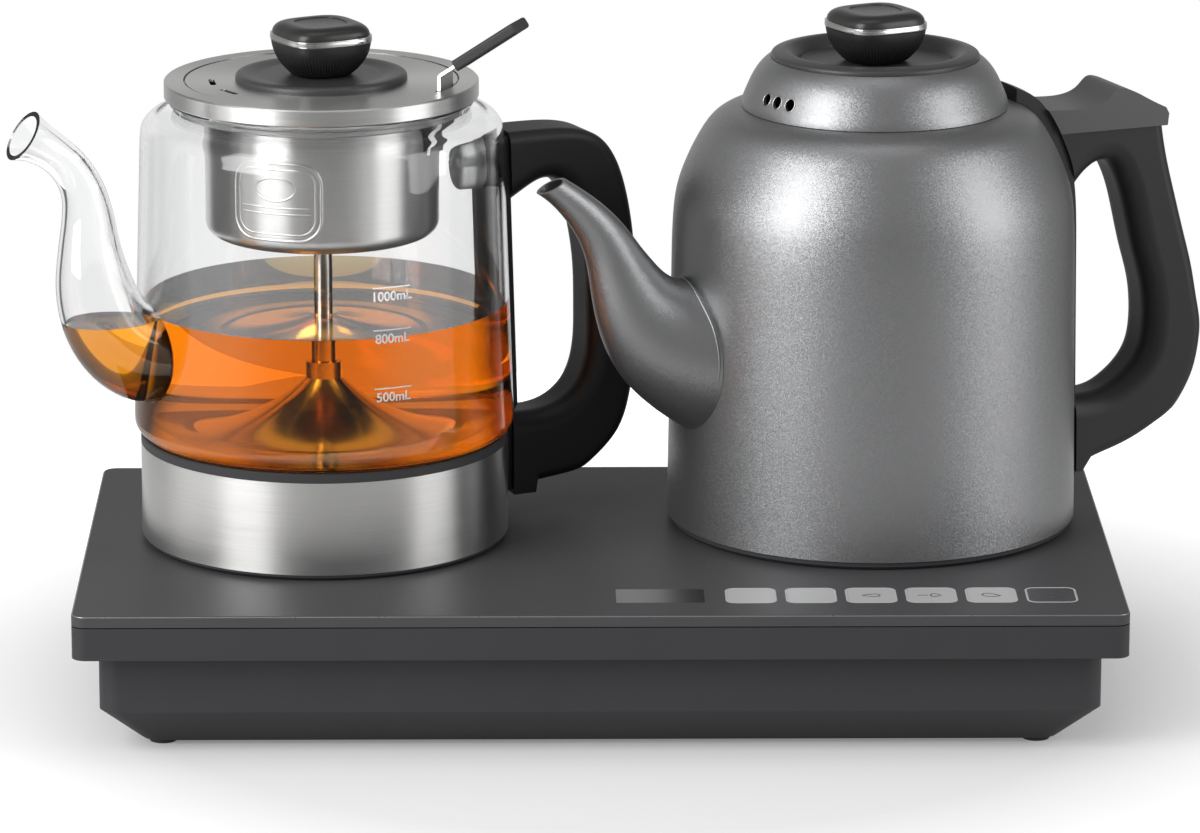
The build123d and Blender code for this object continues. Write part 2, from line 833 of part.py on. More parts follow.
def spout_form(side, stations, inset):
    """A spout as one solid through its stations, every section drawn in by inset."""
    with BuildPart() as form:
        for reach, height, pitch, half_height, half_width in stations:
            with BuildSketch(spout_section(side, reach, height, pitch)):
                Ellipse(half_width - inset, half_height - inset)
        loft()
    return form.part


with BuildPart() as pot_glass:
    add(glass_form(0, seal_top))
    with BuildSketch(pot_spout_side):
        with Locations((glass_rim_radius / 2, glass_rim_top - glass_rim_thickness / 2)):
            Rectangle(glass_rim_radius, glass_rim_thickness)
    revolve(axis=pot_axis)
    add(glass_form(glass_wall, seal_top + glass_wall), mode=Mode.SUBTRACT)
    add(spout_form(pot_spout_side, pot_spout_stations, spout_glass_wall), mode=Mode.SUBTRACT)
    with BuildSketch(vessel_level(pot_origin, pot_turn, seal_top)):
        Circle(glass_floor_hole)
    extrude(amount=glass_wall, mode=Mode.SUBTRACT)
    # hole for the handle's upper screw
    with BuildSketch(handle_bore(pot_side, pot_boss_height)):
        Circle(glass_screw_hole)
    extrude(amount=glass_low_radius, mode=Mode.SUBTRACT)
save("pot_glass", pot_glass.part)

# the spout is drawn as its own tube and fused to the body's wall
with BuildPart() as pot_spout:
    add(spout_form(pot_spout_side, pot_spout_stations, 0))
    add(spout_form(pot_spout_side, pot_spout_stations, spout_glass_wall), mode=Mode.SUBTRACT)
    add(glass_form(0, seal_top), mode=Mode.SUBTRACT)
save("pot_spout", pot_spout.part)


def pot_envelope(gap):
    """The glass pot and its foot, grown by a gap, to cut pieces that lie against it."""
    with BuildPart() as form:
        with BuildSketch(pot_side):
            with BuildLine():
                Polyline(
                    (0, 0),
                    (pot_ring_radius + gap, 0),
                    (pot_ring_radius + gap, pot_trim_top - 1),
                    (glass_low_radius + gap, pot_trim_top + 3),
                    (glass_high_radius + gap, glass_high_height),
                    (glass_high_radius + gap, glass_rim_top),
                    (0, glass_rim_top),
                    close=True,
                )
            make_face()
        revolve(axis=pot_axis)
    return form.part


# Each handle is a slab with rounded edges round its finger opening, split by a fine seam into
# an inner grip and an outer strip, and held to the vessel by a backbone that clasps the wall.
def handle_form(side, width, outline, opening, outer_round, inner_round):
    """A handle as one solid, its edges rounded outside and, more, round the finger opening."""
    with BuildPart() as form:
        extrude(outline, amount=width)
        fillet(form.edges().filter_by(GeomType.BSPLINE), outer_round)
        extrude(opening, amount=width, mode=Mode.SUBTRACT)
        rims = [
            edge
            for edge in form.edges(Select.LAST).filter_by(GeomType.BSPLINE)
            if abs(abs(side.to_local_coords(edge.center()).Z) - width / 2) < fit_gap
        ]
        fillet(rims, inner_round)
    return form.part


def backbone_slab(side, width, inner_reach, outer_reach, foot, top):
    """The slab a backbone is cut from."""
    with BuildPart() as slab:
        with BuildSketch(side.offset(-width / 2)):
            with Locations(((inner_reach + outer_reach) / 2, (foot + top) / 2)):
                Rectangle(outer_reach - inner_reach, top - foot)
        extrude(amount=width)
    return slab.part


pot_handle_face = pot_side.offset(-pot_handle_width / 2)
with BuildSketch(pot_handle_face) as pot_handle_outline:
    with BuildLine():
        Polyline((80, 12), (79.4, 8.4), (55, 8.4), (55, 143.5))
        Spline(
            (55, 143.5),
            (84, 143.8),
            (106, 139.2),
            (117.6, 117),
            (121.4, 75),
            (118.6, 39.5),
            (113.2, 26.6),
            (104, 17.8),
            (80, 12),
            tangents=((1, 0.02), (-1, -0.1)),
        )
    make_face()

with BuildSketch(pot_handle_face) as pot_handle_opening:
    with BuildLine():
        Spline(
            (50, 112),
            (70, 117.5),
            (78, 122.3),
            (86, 125),
            (93.5, 121),
            (99, 109),
            (102.3, 90),
            (102.8, 72),
            (102, 57),
            (98, 46.5),
            (90, 40.3),
            (80, 38.4),
            (50, 41),
        )
        Line((50, 41), (50, 112))
    make_face()

with BuildSketch(pot_handle_face) as pot_strip_region:
    with BuildLine():
        Polyline((84.5, 2), (140, 2), (140, 160), (70, 160), (70.6, 146), (73.5, 141), (73.5, 135.2))
        Line((73.5, 135.2), (85, 135))
        Spline(
            (85, 135),
            (96, 131.5),
            (106, 121),
            (112, 104),
            (114.3, 80),
            (113, 55),
            (106, 36),
            (92, 23.5),
            tangents=((1, 0), (-1, -0.5)),
        )
        Polyline((92, 23.5), (86, 20.5), (84.5, 2))
    make_face()

pot_handle_blank = handle_form(
    pot_side,
    pot_handle_width,
    pot_handle_outline.sketch,
    pot_handle_opening.sketch,
    pot_handle_outer_round,
    pot_handle_inner_round,
)
pot_backbone_gap = handle_seat + pot_backbone_thickness
pot_screw_heights = (pot_boss_height, pot_ring_screw_height)
pot_screw_reaches = (glass_high_radius + pot_backbone_gap, pot_ring_radius + pot_backbone_gap)

with BuildPart() as pot_handle_backbone:
    add(backbone_slab(pot_side, pot_backbone_width, 50, 90, backbone_foot, 142))
    add(pot_envelope(pot_backbone_gap), mode=Mode.INTERSECT)
    add(pot_envelope(handle_seat), mode=Mode.SUBTRACT)
    for height, reach in zip(pot_screw_heights, pot_screw_reaches):
        with BuildSketch(handle_bore(pot_side, height)):
            Circle(screw_radius + screw_hole_gap)
        extrude(amount=2 * reach, mode=Mode.SUBTRACT)
        with BuildSketch(handle_bore(pot_side, height).offset(reach - screw_head_height - fit_gap)):
            Circle(screw_head_radius + screw_hole_gap)
        extrude(amount=reach, mode=Mode.SUBTRACT)
save("pot_handle_backbone", pot_handle_backbone.part)

with BuildPart() as pot_handle_screws:
    for height, reach in zip(pot_screw_heights, pot_screw_reaches):
        with BuildSketch(handle_bore(pot_side, height).offset(reach - fit_gap)):
            Circle(screw_head_radius)
        extrude(amount=-screw_head_height)
        with BuildSketch(handle_bore(pot_side, height).offset(reach - fit_gap - screw_head_height)):
            Circle(screw_radius)
        extrude(amount=-boss_depth)
save("pot_handle_screws", pot_handle_screws.part)

pot_boss_plane = handle_bore(pot_side, pot_boss_height).offset(glass_high_radius - glass_wall)
with BuildPart() as pot_handle_boss:
    with BuildSketch(pot_boss_plane.offset(-boss_depth)):
        Ellipse(boss_half_width, boss_half_height)
    extrude(amount=2 * boss_depth)
    fillet(pot_handle_boss.faces().sort_by(Axis(pot_side.origin, pot_side.x_dir))[0].edges(), 2.5)
    add(glass_form(glass_wall + fit_gap, seal_top + glass_wall), mode=Mode.INTERSECT)
    with BuildSketch(pot_boss_plane.offset(-boss_depth / 2)):
        Circle(boss_neck_radius)
    extrude(amount=boss_depth / 2 + glass_wall)
    with BuildSketch(pot_boss_plane.offset(-boss_thread)):
        Circle(screw_radius + fit_gap)
    extrude(amount=boss_depth, mode=Mode.SUBTRACT)
save("pot_handle_boss", pot_handle_boss.part)

with BuildPart() as pot_handle_grip:
    add(pot_handle_blank)
    extrude(pot_strip_region.sketch, amount=pot_handle_width, mode=Mode.SUBTRACT)
    add(pot_envelope(pot_backbone_gap + fit_gap), mode=Mode.SUBTRACT)
save("pot_handle_grip", pot_handle_grip.part)

with BuildPart() as pot_handle_strip:
    add(pot_handle_blank)
    extrude(pot_strip_region.sketch, amount=pot_handle_width, mode=Mode.INTERSECT)
    add(pot_envelope(pot_backbone_gap + fit_gap), mode=Mode.SUBTRACT)
save("pot_handle_strip", pot_handle_strip.part)


# ================================================================ brewing insert
with BuildPart() as riser_tube:
    with BuildSketch(vessel_level(pot_origin, pot_turn, tube_bottom)):
        Circle(tube_radius)
        Circle(tube_radius - tube_wall, mode=Mode.SUBTRACT)
    extrude(amount=tube_top - tube_bottom)
save("riser_tube", riser_tube.part)

# The funnel stands over the heating plate; water enters through the slots in its rim.
funnel_foot = pot_floor + lift_gap
with BuildPart() as spray_funnel:
    with BuildSketch(pot_side):
        with BuildLine():
            Polyline(
                (tube_radius + fit_gap, collar_bottom),
                (tube_radius + fit_gap, collar_top),
                (collar_radius, collar_top),
                (collar_radius, funnel_top),
            )
            ThreePointArc(
                (collar_radius, funnel_top),
                (funnel_waist_radius, funnel_waist_height),
                (funnel_shoulder, funnel_brim_height),
            )
            Polyline(
                (funnel_shoulder, funnel_brim_height),
                (funnel_radius, funnel_brim_height - 0.8),
                (funnel_radius, funnel_foot),
                (funnel_radius - funnel_thickness, funnel_foot),
                (funnel_radius - funnel_thickness, funnel_brim_height - 0.8 - funnel_thickness / 2),
                (funnel_shoulder, funnel_brim_height - funnel_thickness),
            )
            ThreePointArc(
                (funnel_shoulder, funnel_brim_height - funnel_thickness),
                (funnel_waist_radius - funnel_thickness / 2, funnel_waist_height - funnel_thickness),
                (tube_radius + fit_gap, collar_bottom),
            )
        make_face()
    revolve(axis=pot_axis)
    with BuildSketch(vessel_level(pot_origin, pot_turn, funnel_foot)):
        with PolarLocations(funnel_radius, funnel_slot_count, start_angle=funnel_slot_start):
            Rectangle(6, funnel_slot_width)
    extrude(amount=funnel_slot_height, mode=Mode.SUBTRACT)
save("spray_funnel", spray_funnel.part)

strap_inside = strap_reach - strap_metal / 2 - lift_gap
with BuildPart() as basket_shell:
    with BuildSketch(pot_side):
        with BuildLine():
            Polyline(
                (basket_flange_radius, basket_ledge),
                (basket_radius - basket_metal, basket_ledge),
                (basket_radius - basket_metal, basket_bottom + basket_corner),
            )
            RadiusArc(
                (basket_radius - basket_metal, basket_bottom + basket_corner),
                (basket_radius - basket_corner, basket_bottom + basket_metal),
                basket_corner - basket_metal,
            )
            Polyline(
                (basket_radius - basket_corner, basket_bottom + basket_metal),
                (tube_radius + lift_gap + basket_metal, basket_bottom + basket_metal),
                (tube_radius + lift_gap + basket_metal, basket_bottom + basket_collar_height),
                (tube_radius + lift_gap, basket_bottom + basket_collar_height),
                (tube_radius + lift_gap, basket_bottom),
                (basket_radius - basket_corner, basket_bottom),
            )
            RadiusArc(
                (basket_radius - basket_corner, basket_bottom),
                (basket_radius, basket_bottom + basket_corner),
                -basket_corner,
            )
            Polyline(
                (basket_radius, basket_bottom + basket_corner),
                (basket_radius, basket_ledge - basket_metal),
                (basket_flange_radius, basket_ledge - basket_metal),
                (basket_flange_radius, basket_ledge),
            )
        make_face()
    revolve(axis=pot_axis)
    # drain holes, the slots that take the strap's tabs, and room for the strap in the flange
    for ring_radius, hole_count in basket_hole_rings:
        with BuildSketch(vessel_level(pot_origin, 0, basket_bottom)):
            with PolarLocations(ring_radius, hole_count):
                Circle(basket_hole_radius)
        extrude(amount=basket_metal, mode=Mode.SUBTRACT)
    with BuildSketch(vessel_level(pot_origin, strap_turn, strap_slot_bottom)):
        with PolarLocations(
            basket_radius, 2, start_angle=-strap_slot_turn, angular_range=4 * strap_slot_turn
        ):
            Rectangle(4, strap_slot_width)
    extrude(amount=strap_slot_height, mode=Mode.SUBTRACT)
    with BuildSketch(vessel_level(pot_origin, strap_turn, basket_ledge)):
        with Locations((basket_flange_radius, 0)):
            Rectangle(2 * (basket_flange_radius - strap_inside), strap_width + 2 * lift_gap)
    extrude(amount=-basket_metal, mode=Mode.SUBTRACT)
save("basket_shell", basket_shell.part)

with BuildPart() as basket_ring:
    with BuildSketch(pot_side):
        with BuildLine():
            Polyline(
                (basket_ring_inner, basket_ring_top),
                (basket_ring_radius - ring_edge, basket_ring_top),
                (basket_ring_radius, basket_ring_top - ring_edge),
                (basket_ring_radius, basket_ring_bottom + ring_edge),
                (basket_ring_radius - ring_edge, basket_ring_bottom),
                (basket_ring_inner, basket_ring_bottom),
                close=True,
            )
        make_face()
    revolve(axis=pot_axis)
save("basket_ring", basket_ring.part)

# The seal lies between the ring and the glass rim, and its lip goes down into the neck.
seal_bottom = glass_rim_top + seal_gap
with BuildPart() as basket_seal:
    with BuildSketch(pot_side):
        with BuildLine():
            Polyline(
                (basket_ring_inner, basket_ring_bottom),
                (glass_rim_radius - ring_edge, basket_ring_bottom),
                (glass_rim_radius - ring_edge, seal_bottom),
                (basket_skirt_radius, seal_bottom),
                (basket_skirt_radius, basket_skirt_bottom + ring_edge),
                (basket_skirt_radius - ring_edge, basket_skirt_bottom),
                (basket_ring_inner, basket_skirt_bottom),
                close=True,
            )
        make_face()
    revolve(axis=pot_axis)
save("basket_seal", basket_seal.part)

# The lifting strap stands inside the ring and leans outward under a soft sleeve.
strap_side = vessel_side(pot_origin, strap_turn)
lean = (cos(radians(strap_rise)), sin(radians(strap_rise)))
sleeve_end = sleeve_start + sleeve_length
with BuildPart() as lift_strap:
    with BuildSketch(strap_side.offset(-strap_width / 2)):
        with BuildLine():
            FilletPolyline(
                (basket_radius + fit_gap + strap_metal / 2, strap_foot),
                (basket_radius + fit_gap + strap_metal / 2, strap_foot + 5),
                (strap_reach, strap_foot + 9),
                (strap_reach, strap_bend),
                (strap_reach + (sleeve_end - 2) * lean[0], strap_bend + (sleeve_end - 2) * lean[1]),
                radius=1.5,
            )
        trace(line_width=strap_metal)
    extrude(amount=strap_width)
save("lift_strap", lift_strap.part)

sleeve_foot = (strap_reach + sleeve_start * lean[0], strap_bend + sleeve_start * lean[1], 0)
sleeve_plane = Plane(
    origin=strap_side.from_local_coords(sleeve_foot),
    x_dir=strap_side.z_dir,
    z_dir=strap_side.x_dir * lean[0] + strap_side.y_dir * lean[1],
)
with BuildPart() as strap_sleeve:
    with BuildSketch(sleeve_plane):
        RectangleRounded(sleeve_width, sleeve_thickness, 1.2)
    extrude(amount=sleeve_length)
    fillet(strap_sleeve.faces().sort_by(Axis((0, 0, 0), sleeve_plane.z_dir))[-1].edges(), 1)
    with BuildSketch(sleeve_plane):
        Rectangle(strap_width + fit_gap, strap_metal + fit_gap)
    extrude(amount=sleeve_length - 2 + fit_gap, mode=Mode.SUBTRACT)
save("strap_sleeve", strap_sleeve.part)

# ================================================================ pot lid
lid_bottom = basket_ledge + lift_gap
lid_top = lid_bottom + lid_plate_metal
with BuildPart() as pot_lid_plate:
    with BuildSketch(vessel_level(pot_origin, 0, lid_bottom)):
        Circle(lid_plate_radius)
        for angle in lid_slot_angles:
            with PolarLocations(lid_slot_radius, 1, start_angle=angle):
                SlotOverall(lid_slot_length, lid_slot_width, rotation=90, mode=Mode.SUBTRACT)
        with PolarLocations(lid_plate_radius, 1, start_angle=strap_turn):
            Rectangle(2 * (lid_plate_radius - strap_inside), lid_notch_width, mode=Mode.SUBTRACT)
    extrude(amount=lid_plate_metal)
save("pot_lid_plate", pot_lid_plate.part)

boss_dish = lid_top + lid_boss_height - lid_boss_dish
with BuildPart() as pot_lid_boss:
    with BuildSketch(pot_side):
        with BuildLine():
            Polyline((0, boss_dish), (0, lid_top), (lid_boss_radius, lid_top), (lid_boss_radius, lid_top + 1))
            Spline(
                (lid_boss_radius, lid_top + 1),
                (lid_boss_crest, lid_top + lid_boss_height),
                (lid_boss_dish_radius, boss_dish),
                tangents=((0, 1), (-1, -0.1)),
            )
            Line((lid_boss_dish_radius, boss_dish), (0, boss_dish))
        make_face()
    revolve(axis=pot_axis)
save("pot_lid_boss", pot_lid_boss.part)

# ================================================================ knobs
# section sides, and how far up the body or the cap each one lies
knob_body_sections = ((knob_foot_side, 0), (25.6, 0.36), (29.8, 0.7), (knob_side, 1))
knob_cap_sections = ((knob_side - 0.8, 0), (29.6, 0.45), (25.5, 0.85), (22, 1))
knob_corner_share = knob_corner / knob_side


def knob_stack(origin, foot, sections, height):
    """A knob piece lofted through rounded square sections."""
    with BuildPart() as stack:
        for section_side, share in sections:
            corner = knob_corner_share * section_side + knob_foot_round * (1 - share)
            with BuildSketch(vessel_level(origin, knob_turn, foot + share * height)):
                RectangleRounded(section_side, section_side, corner)
        loft()
    return stack.part


for origin, vessel, foot in ((pot_origin, "pot", boss_dish), (kettle_origin, "kettle", disc_recess)):
    save(f"{vessel}_knob_body", knob_stack(origin, foot, knob_body_sections, knob_body_height))
    trim_bottom = foot + knob_body_height
    with BuildPart() as knob_trim:
        with BuildSketch(vessel_level(origin, knob_turn, trim_bottom)):
            RectangleRounded(knob_side + knob_trim_lip, knob_side + knob_trim_lip, knob_corner)
        extrude(amount=knob_trim_height)
        chamfer(knob_trim.faces().sort_by(Axis.Z)[-1].edges(), knob_trim_lip / 2)
    save(f"{vessel}_knob_trim", knob_trim.part)
    cap_bottom = trim_bottom + knob_trim_height
    with BuildPart() as knob_cap:
        add(knob_stack(origin, cap_bottom, knob_cap_sections, knob_cap_height))
        with BuildSketch(vessel_level(origin, knob_turn, cap_bottom + knob_cap_height - knob_panel_sink)):
            RectangleRounded(knob_panel_side, knob_panel_side, knob_panel_corner)
        extrude(amount=knob_panel_sink, mode=Mode.SUBTRACT)
    save(f"{vessel}_knob_cap", knob_cap.part)

# ================================================================ kettle
# points of the shell's upper curve: reach, height, and the outward direction in degrees
kettle_dome = (
    (kettle_taper_radius, kettle_taper_top, 1),
    (72.8, 113.8, 5),
    (71.4, 124.2, 13),
    (68.2, 133.5, 23),
    (63.2, 143.5, 34),
    (57.4, 150.6, 54),
    (50, 153.9, 74),
    (46.5, 154.5, 85),
)


def kettle_form(inset, bottom):
    """The kettle's body as one solid, drawn in by inset from its outer face."""
    curve = [
        (reach - inset * cos(radians(outward)), height - inset * sin(radians(outward)))
        for reach, height, outward in kettle_dome
    ]
    with BuildPart() as form:
        with BuildSketch(kettle_side):
            with BuildLine():
                Polyline((0, curve[-1][1]), (0, bottom), (kettle_radius - inset, bottom), curve[0])
                Spline(*curve, tangents=((-0.015, 1), (-1, 0.08)))
                Line(curve[-1], (0, curve[-1][1]))
            make_face()
        revolve(axis=kettle_axis)
    return form.part


kettle_cover_wall = kettle_radius - kettle_metal - 0.8
save(
    "kettle_bottom_cover",
    bottom_cover(
        kettle_side,
        kettle_axis,
        kettle_rim_radius,
        kettle_rim_height - fit_gap,
        kettle_cover_wall,
        kettle_screw_ring,
    ),
)
save("kettle_cover_screws", cover_screws(kettle_origin, kettle_turn, kettle_screw_ring))

# studs welded on for the handle
kettle_mouth_height = kettle_dome[-1][1]
with BuildPart() as kettle_studs:
    for height, reach in zip(kettle_stud_heights, kettle_stud_reaches):
        with BuildSketch(handle_bore(kettle_side, height)):
            Circle(kettle_stud_radius)
        extrude(amount=reach)
    add(kettle_form(kettle_metal / 2, 0), mode=Mode.SUBTRACT)

with BuildPart() as kettle_shell:
    add(kettle_form(0, kettle_rim_height))
    add(kettle_form(kettle_metal, kettle_rim_height), mode=Mode.SUBTRACT)
    with BuildSketch(vessel_level(kettle_origin, kettle_turn, kettle_mouth_height - kettle_lip_depth)):
        Circle(kettle_opening_radius + kettle_metal)
    extrude(amount=kettle_lip_depth)
    with BuildSketch(vessel_level(kettle_origin, kettle_turn, kettle_mouth_height - kettle_lip_depth)):
        Circle(kettle_opening_radius)
    extrude(amount=2 * kettle_lip_depth, mode=Mode.SUBTRACT)
    # strainer holes behind the spout
    with BuildSketch(handle_bore(kettle_spout_side, kettle_strainer_height)):
        with GridLocations(kettle_strainer_pitch, kettle_strainer_pitch, 4, 5):
            Circle(kettle_strainer_hole)
    extrude(amount=kettle_radius, mode=Mode.SUBTRACT)
    add(kettle_studs.part)
save("kettle_shell", kettle_shell.part)

with BuildPart() as kettle_floor:
    with BuildSketch(kettle_side):
        with BuildLine():
            Polyline(
                (0, kettle_floor_height),
                (kettle_floor_radius - kettle_metal, kettle_floor_height),
                (kettle_floor_radius - kettle_metal, kettle_floor_height - kettle_floor_skirt),
                (kettle_floor_radius, kettle_floor_height - kettle_floor_skirt),
                (kettle_floor_radius, kettle_floor_height + kettle_metal),
                (0, kettle_floor_height + kettle_metal),
                close=True,
            )
        make_face()
    revolve(axis=kettle_axis)
    add(cover_post(kettle_origin, kettle_turn, kettle_screw_ring, kettle_floor_height))
save("kettle_floor", kettle_floor.part)
save("kettle_heater", heater(kettle_side, kettle_axis, kettle_floor_height))

kettle_spout_stations = (
    (54, 67, 8, 27.5, 25),
    (72, 70.8, 17, 27.4, 23.2),
    (83, 76.6, 33, 22.5, 18.6),
    (91.7, 84, 42, 18.1, 15),
    (96.9, 92.6, 50, 14.8, 12.6),
    (101.6, 103.9, 58, 11.2, 10.1),
    (106.7, 114.7, 58, 8.6, 8.1),
    (112.9, 122.8, 50, 7.0, 6.8),
    (119.7, 129.4, 44, 5.7, 5.6),
    (125.5, 134, 38, 5.0, 4.9),
    (136, 140.3, 32, 4.7, 4.6),
)
with BuildPart() as kettle_spout:
    add(spout_form(kettle_spout_side, kettle_spout_stations, 0))
    add(spout_form(kettle_spout_side, kettle_spout_stations, kettle_metal), mode=Mode.SUBTRACT)
    add(kettle_form(-fit_gap, kettle_rim_height), mode=Mode.SUBTRACT)
    split(
        bisect_by=Plane(
            origin=kettle_spout_side.from_local_coords((*kettle_mouth_edge, 0)),
            z_dir=kettle_spout_side.x_dir * cos(radians(kettle_mouth_tilt))
            + kettle_spout_side.y_dir * sin(radians(kettle_mouth_tilt)),
        ),
        keep=Keep.BOTTOM,
    )
save("kettle_spout", kettle_spout.part)

kettle_handle_face = kettle_side.offset(-kettle_handle_width / 2)
with BuildSketch(kettle_handle_face) as kettle_handle_outline:
    with BuildLine():
        Polyline((83, 14.5), (81, 11.5), (60, 11.5), (60, thumb_plate_bottom), (112.3, thumb_plate_bottom))
        Spline(
            (112.3, thumb_plate_bottom),
            (115.4, 124),
            (118.6, 112),
            (122.3, 98.6),
            (126, 85),
            (128.4, 73),
            (130, 63.6),
            (129.4, 54),
            (127.1, 44.6),
            (123.5, 37.3),
            (118.7, 31),
            (112.5, 26.8),
            (104.2, 22.3),
            (96, 19),
            (88, 16.5),
            (83, 14.5),
        )
    make_face()

with BuildSketch(kettle_handle_face) as kettle_handle_opening:
    with BuildLine():
        Spline(
            (60, 112),
            (76.8, 118),
            (84, 125.5),
            (90, 127.3),
            (94.5, 122),
            (98.8, 109.5),
            (103.4, 91),
            (106.6, 79.6),
            (107.8, 71),
            (107.8, 62),
            (106.3, 54.8),
            (102.3, 48.6),
            (96.2, 43.5),
            (92, 41.2),
            (84, 39.8),
            (60, 39.5),
        )
        Line((60, 39.5), (60, 112))
    make_face()

with BuildSketch(kettle_handle_face) as kettle_strip_region:
    with BuildLine():
        Polyline((84.6, 17.9), (84.6, 0), (160, 0), (160, 160), (105.6, 160), (105.6, thumb_plate_bottom))
        Spline(
            (105.6, thumb_plate_bottom),
            (111.3, 113.5),
            (116, 96),
            (120.8, 80.5),
            (122.8, 68.8),
            (121.5, 53.7),
            (115.2, 40.9),
            (105, 32.3),
            (94.7, 26.8),
            (86.5, 23.8),
        )
        Line((86.5, 23.8), (84.6, 17.9))
    make_face()

kettle_handle_blank = handle_form(
    kettle_side,
    kettle_handle_width,
    kettle_handle_outline.sketch,
    kettle_handle_opening.sketch,
    kettle_handle_outer_round,
    kettle_handle_inner_round,
)
kettle_backbone_gap = handle_seat + kettle_backbone_thickness

with BuildPart() as kettle_handle_backbone:
    add(
        backbone_slab(
            kettle_side,
            kettle_backbone_width,
            kettle_backbone_reach,
            kettle_radius + 20,
            backbone_foot,
            kettle_mouth_height + 5,
        )
    )
    add(kettle_form(-kettle_backbone_gap, 0), mode=Mode.INTERSECT)
    add(kettle_form(-handle_seat, 0), mode=Mode.SUBTRACT)
    for height in kettle_stud_heights:
        with BuildSketch(handle_bore(kettle_side, height)):
            Circle(kettle_stud_radius + screw_hole_gap)
        extrude(amount=2 * kettle_radius, mode=Mode.SUBTRACT)
save("kettle_handle_backbone", kettle_handle_backbone.part)

with BuildPart() as kettle_handle_nuts:
    for height, reach in zip(kettle_stud_heights, kettle_stud_reaches):
        with BuildSketch(handle_bore(kettle_side, height).offset(reach - nut_height)):
            RegularPolygon(nut_radius, 6)
            Circle(kettle_stud_radius + fit_gap, mode=Mode.SUBTRACT)
        extrude(amount=nut_height)
save("kettle_handle_nuts", kettle_handle_nuts.part)

with BuildPart() as kettle_handle_grip:
    add(kettle_handle_blank)
    extrude(kettle_strip_region.sketch, amount=kettle_handle_width, mode=Mode.SUBTRACT)
    add(kettle_form(-kettle_backbone_gap - fit_gap, 0), mode=Mode.SUBTRACT)
    for height, reach in zip(kettle_stud_heights, kettle_stud_reaches):
        with BuildSketch(handle_bore(kettle_side, height)):
            Circle(nut_radius + screw_hole_gap)
        extrude(amount=reach + fit_gap, mode=Mode.SUBTRACT)
save("kettle_handle_grip", kettle_handle_grip.part)

with BuildPart() as kettle_handle_strip:
    add(kettle_handle_blank)
    extrude(kettle_strip_region.sketch, amount=kettle_handle_width, mode=Mode.INTERSECT)
    add(kettle_form(-kettle_backbone_gap - fit_gap, 0), mode=Mode.SUBTRACT)
save("kettle_handle_strip", kettle_handle_strip.part)

with BuildPart() as kettle_thumb_plate:
    with BuildSketch(kettle_side.offset(-thumb_plate_width / 2)):
        with BuildLine():
            Polyline(
                (58, 149.6),
                (50, 149.6),
                (50, thumb_plate_bottom + fit_gap),
                (112.8, thumb_plate_bottom + fit_gap),
                (113.3, 144.5),
                (112, 146.9),
            )
            Spline(
                (112, 146.9),
                (104, 151),
                (96, 154.9),
                (92.5, 155.3),
                (88.5, 152),
                (83, 149.4),
                (72, 149),
                (58, 149.6),
                tangents=((-1, 0.45), (-1, 0.05)),
            )
        make_face()
    extrude(amount=thumb_plate_width)
    upright_edges = kettle_thumb_plate.edges().filter_by(Axis.Z)
    fillet(upright_edges.group_by(Axis(kettle_side.origin, kettle_side.x_dir))[-1], thumb_plate_round)
    add(kettle_form(-kettle_backbone_gap - fit_gap, 0), mode=Mode.SUBTRACT)
save("kettle_thumb_plate", kettle_thumb_plate.part)

# ================================================================ kettle lid
with BuildPart() as kettle_lid_cone:
    with BuildSketch(kettle_side):
        with BuildLine():
            Spline(
                (cone_base_radius, cone_base_height),
                (cone_base_radius - 0.4, 157),
                (cone_base_radius - 1.4, 159.6),
                (44.5, 164.9),
                (41.6, 169.2),
                (38, disc_seat),
            )
            Polyline(
                (38, disc_seat),
                (disc_plug_radius + fit_gap, disc_seat),
                (disc_plug_radius + fit_gap, disc_seat - cone_metal),
                (37.3, disc_seat - cone_metal),
            )
            Spline(
                (37.3, disc_seat - cone_metal),
                (40.8, 168.4),
                (43.6, 164.4),
                (cone_base_radius - 2.4, 159.3),
                (cone_base_radius - 1.4, 156.9),
                (cone_base_radius - 1, cone_base_height),
            )
            Line((cone_base_radius - 1, cone_base_height), (cone_base_radius, cone_base_height))
        make_face()
    revolve(axis=kettle_axis)
    for angle in vent_angles:
        vent_side = vessel_side(kettle_origin, angle)
        with BuildSketch(handle_bore(vent_side, vent_height).offset(disc_plug_radius)):
            Circle(vent_radius)
        extrude(amount=cone_base_radius, mode=Mode.SUBTRACT)
save("kettle_lid_cone", kettle_lid_cone.part)

with BuildPart() as kettle_lid_disc:
    with BuildSketch(kettle_side):
        with BuildLine():
            Polyline(
                (0, disc_recess),
                (0, disc_bottom),
                (disc_plug_radius, disc_bottom),
                (disc_plug_radius, disc_seat + fit_gap),
                (disc_radius, disc_seat + fit_gap),
                (disc_radius, disc_seat + 0.8),
            )
            Spline(
                (disc_radius, disc_seat + 0.8),
                (35.4, disc_crest - 0.4),
                (33, disc_crest),
                (30.2, disc_crest - 1),
                (27.4, disc_recess + 0.7),
                (24.5, disc_recess),
                tangents=((-0.2, 1), (-1, 0)),
            )
            Line((24.5, disc_recess), (0, disc_recess))
        make_face()
    revolve(axis=kettle_axis)
save("kettle_lid_disc", kettle_lid_disc.part)

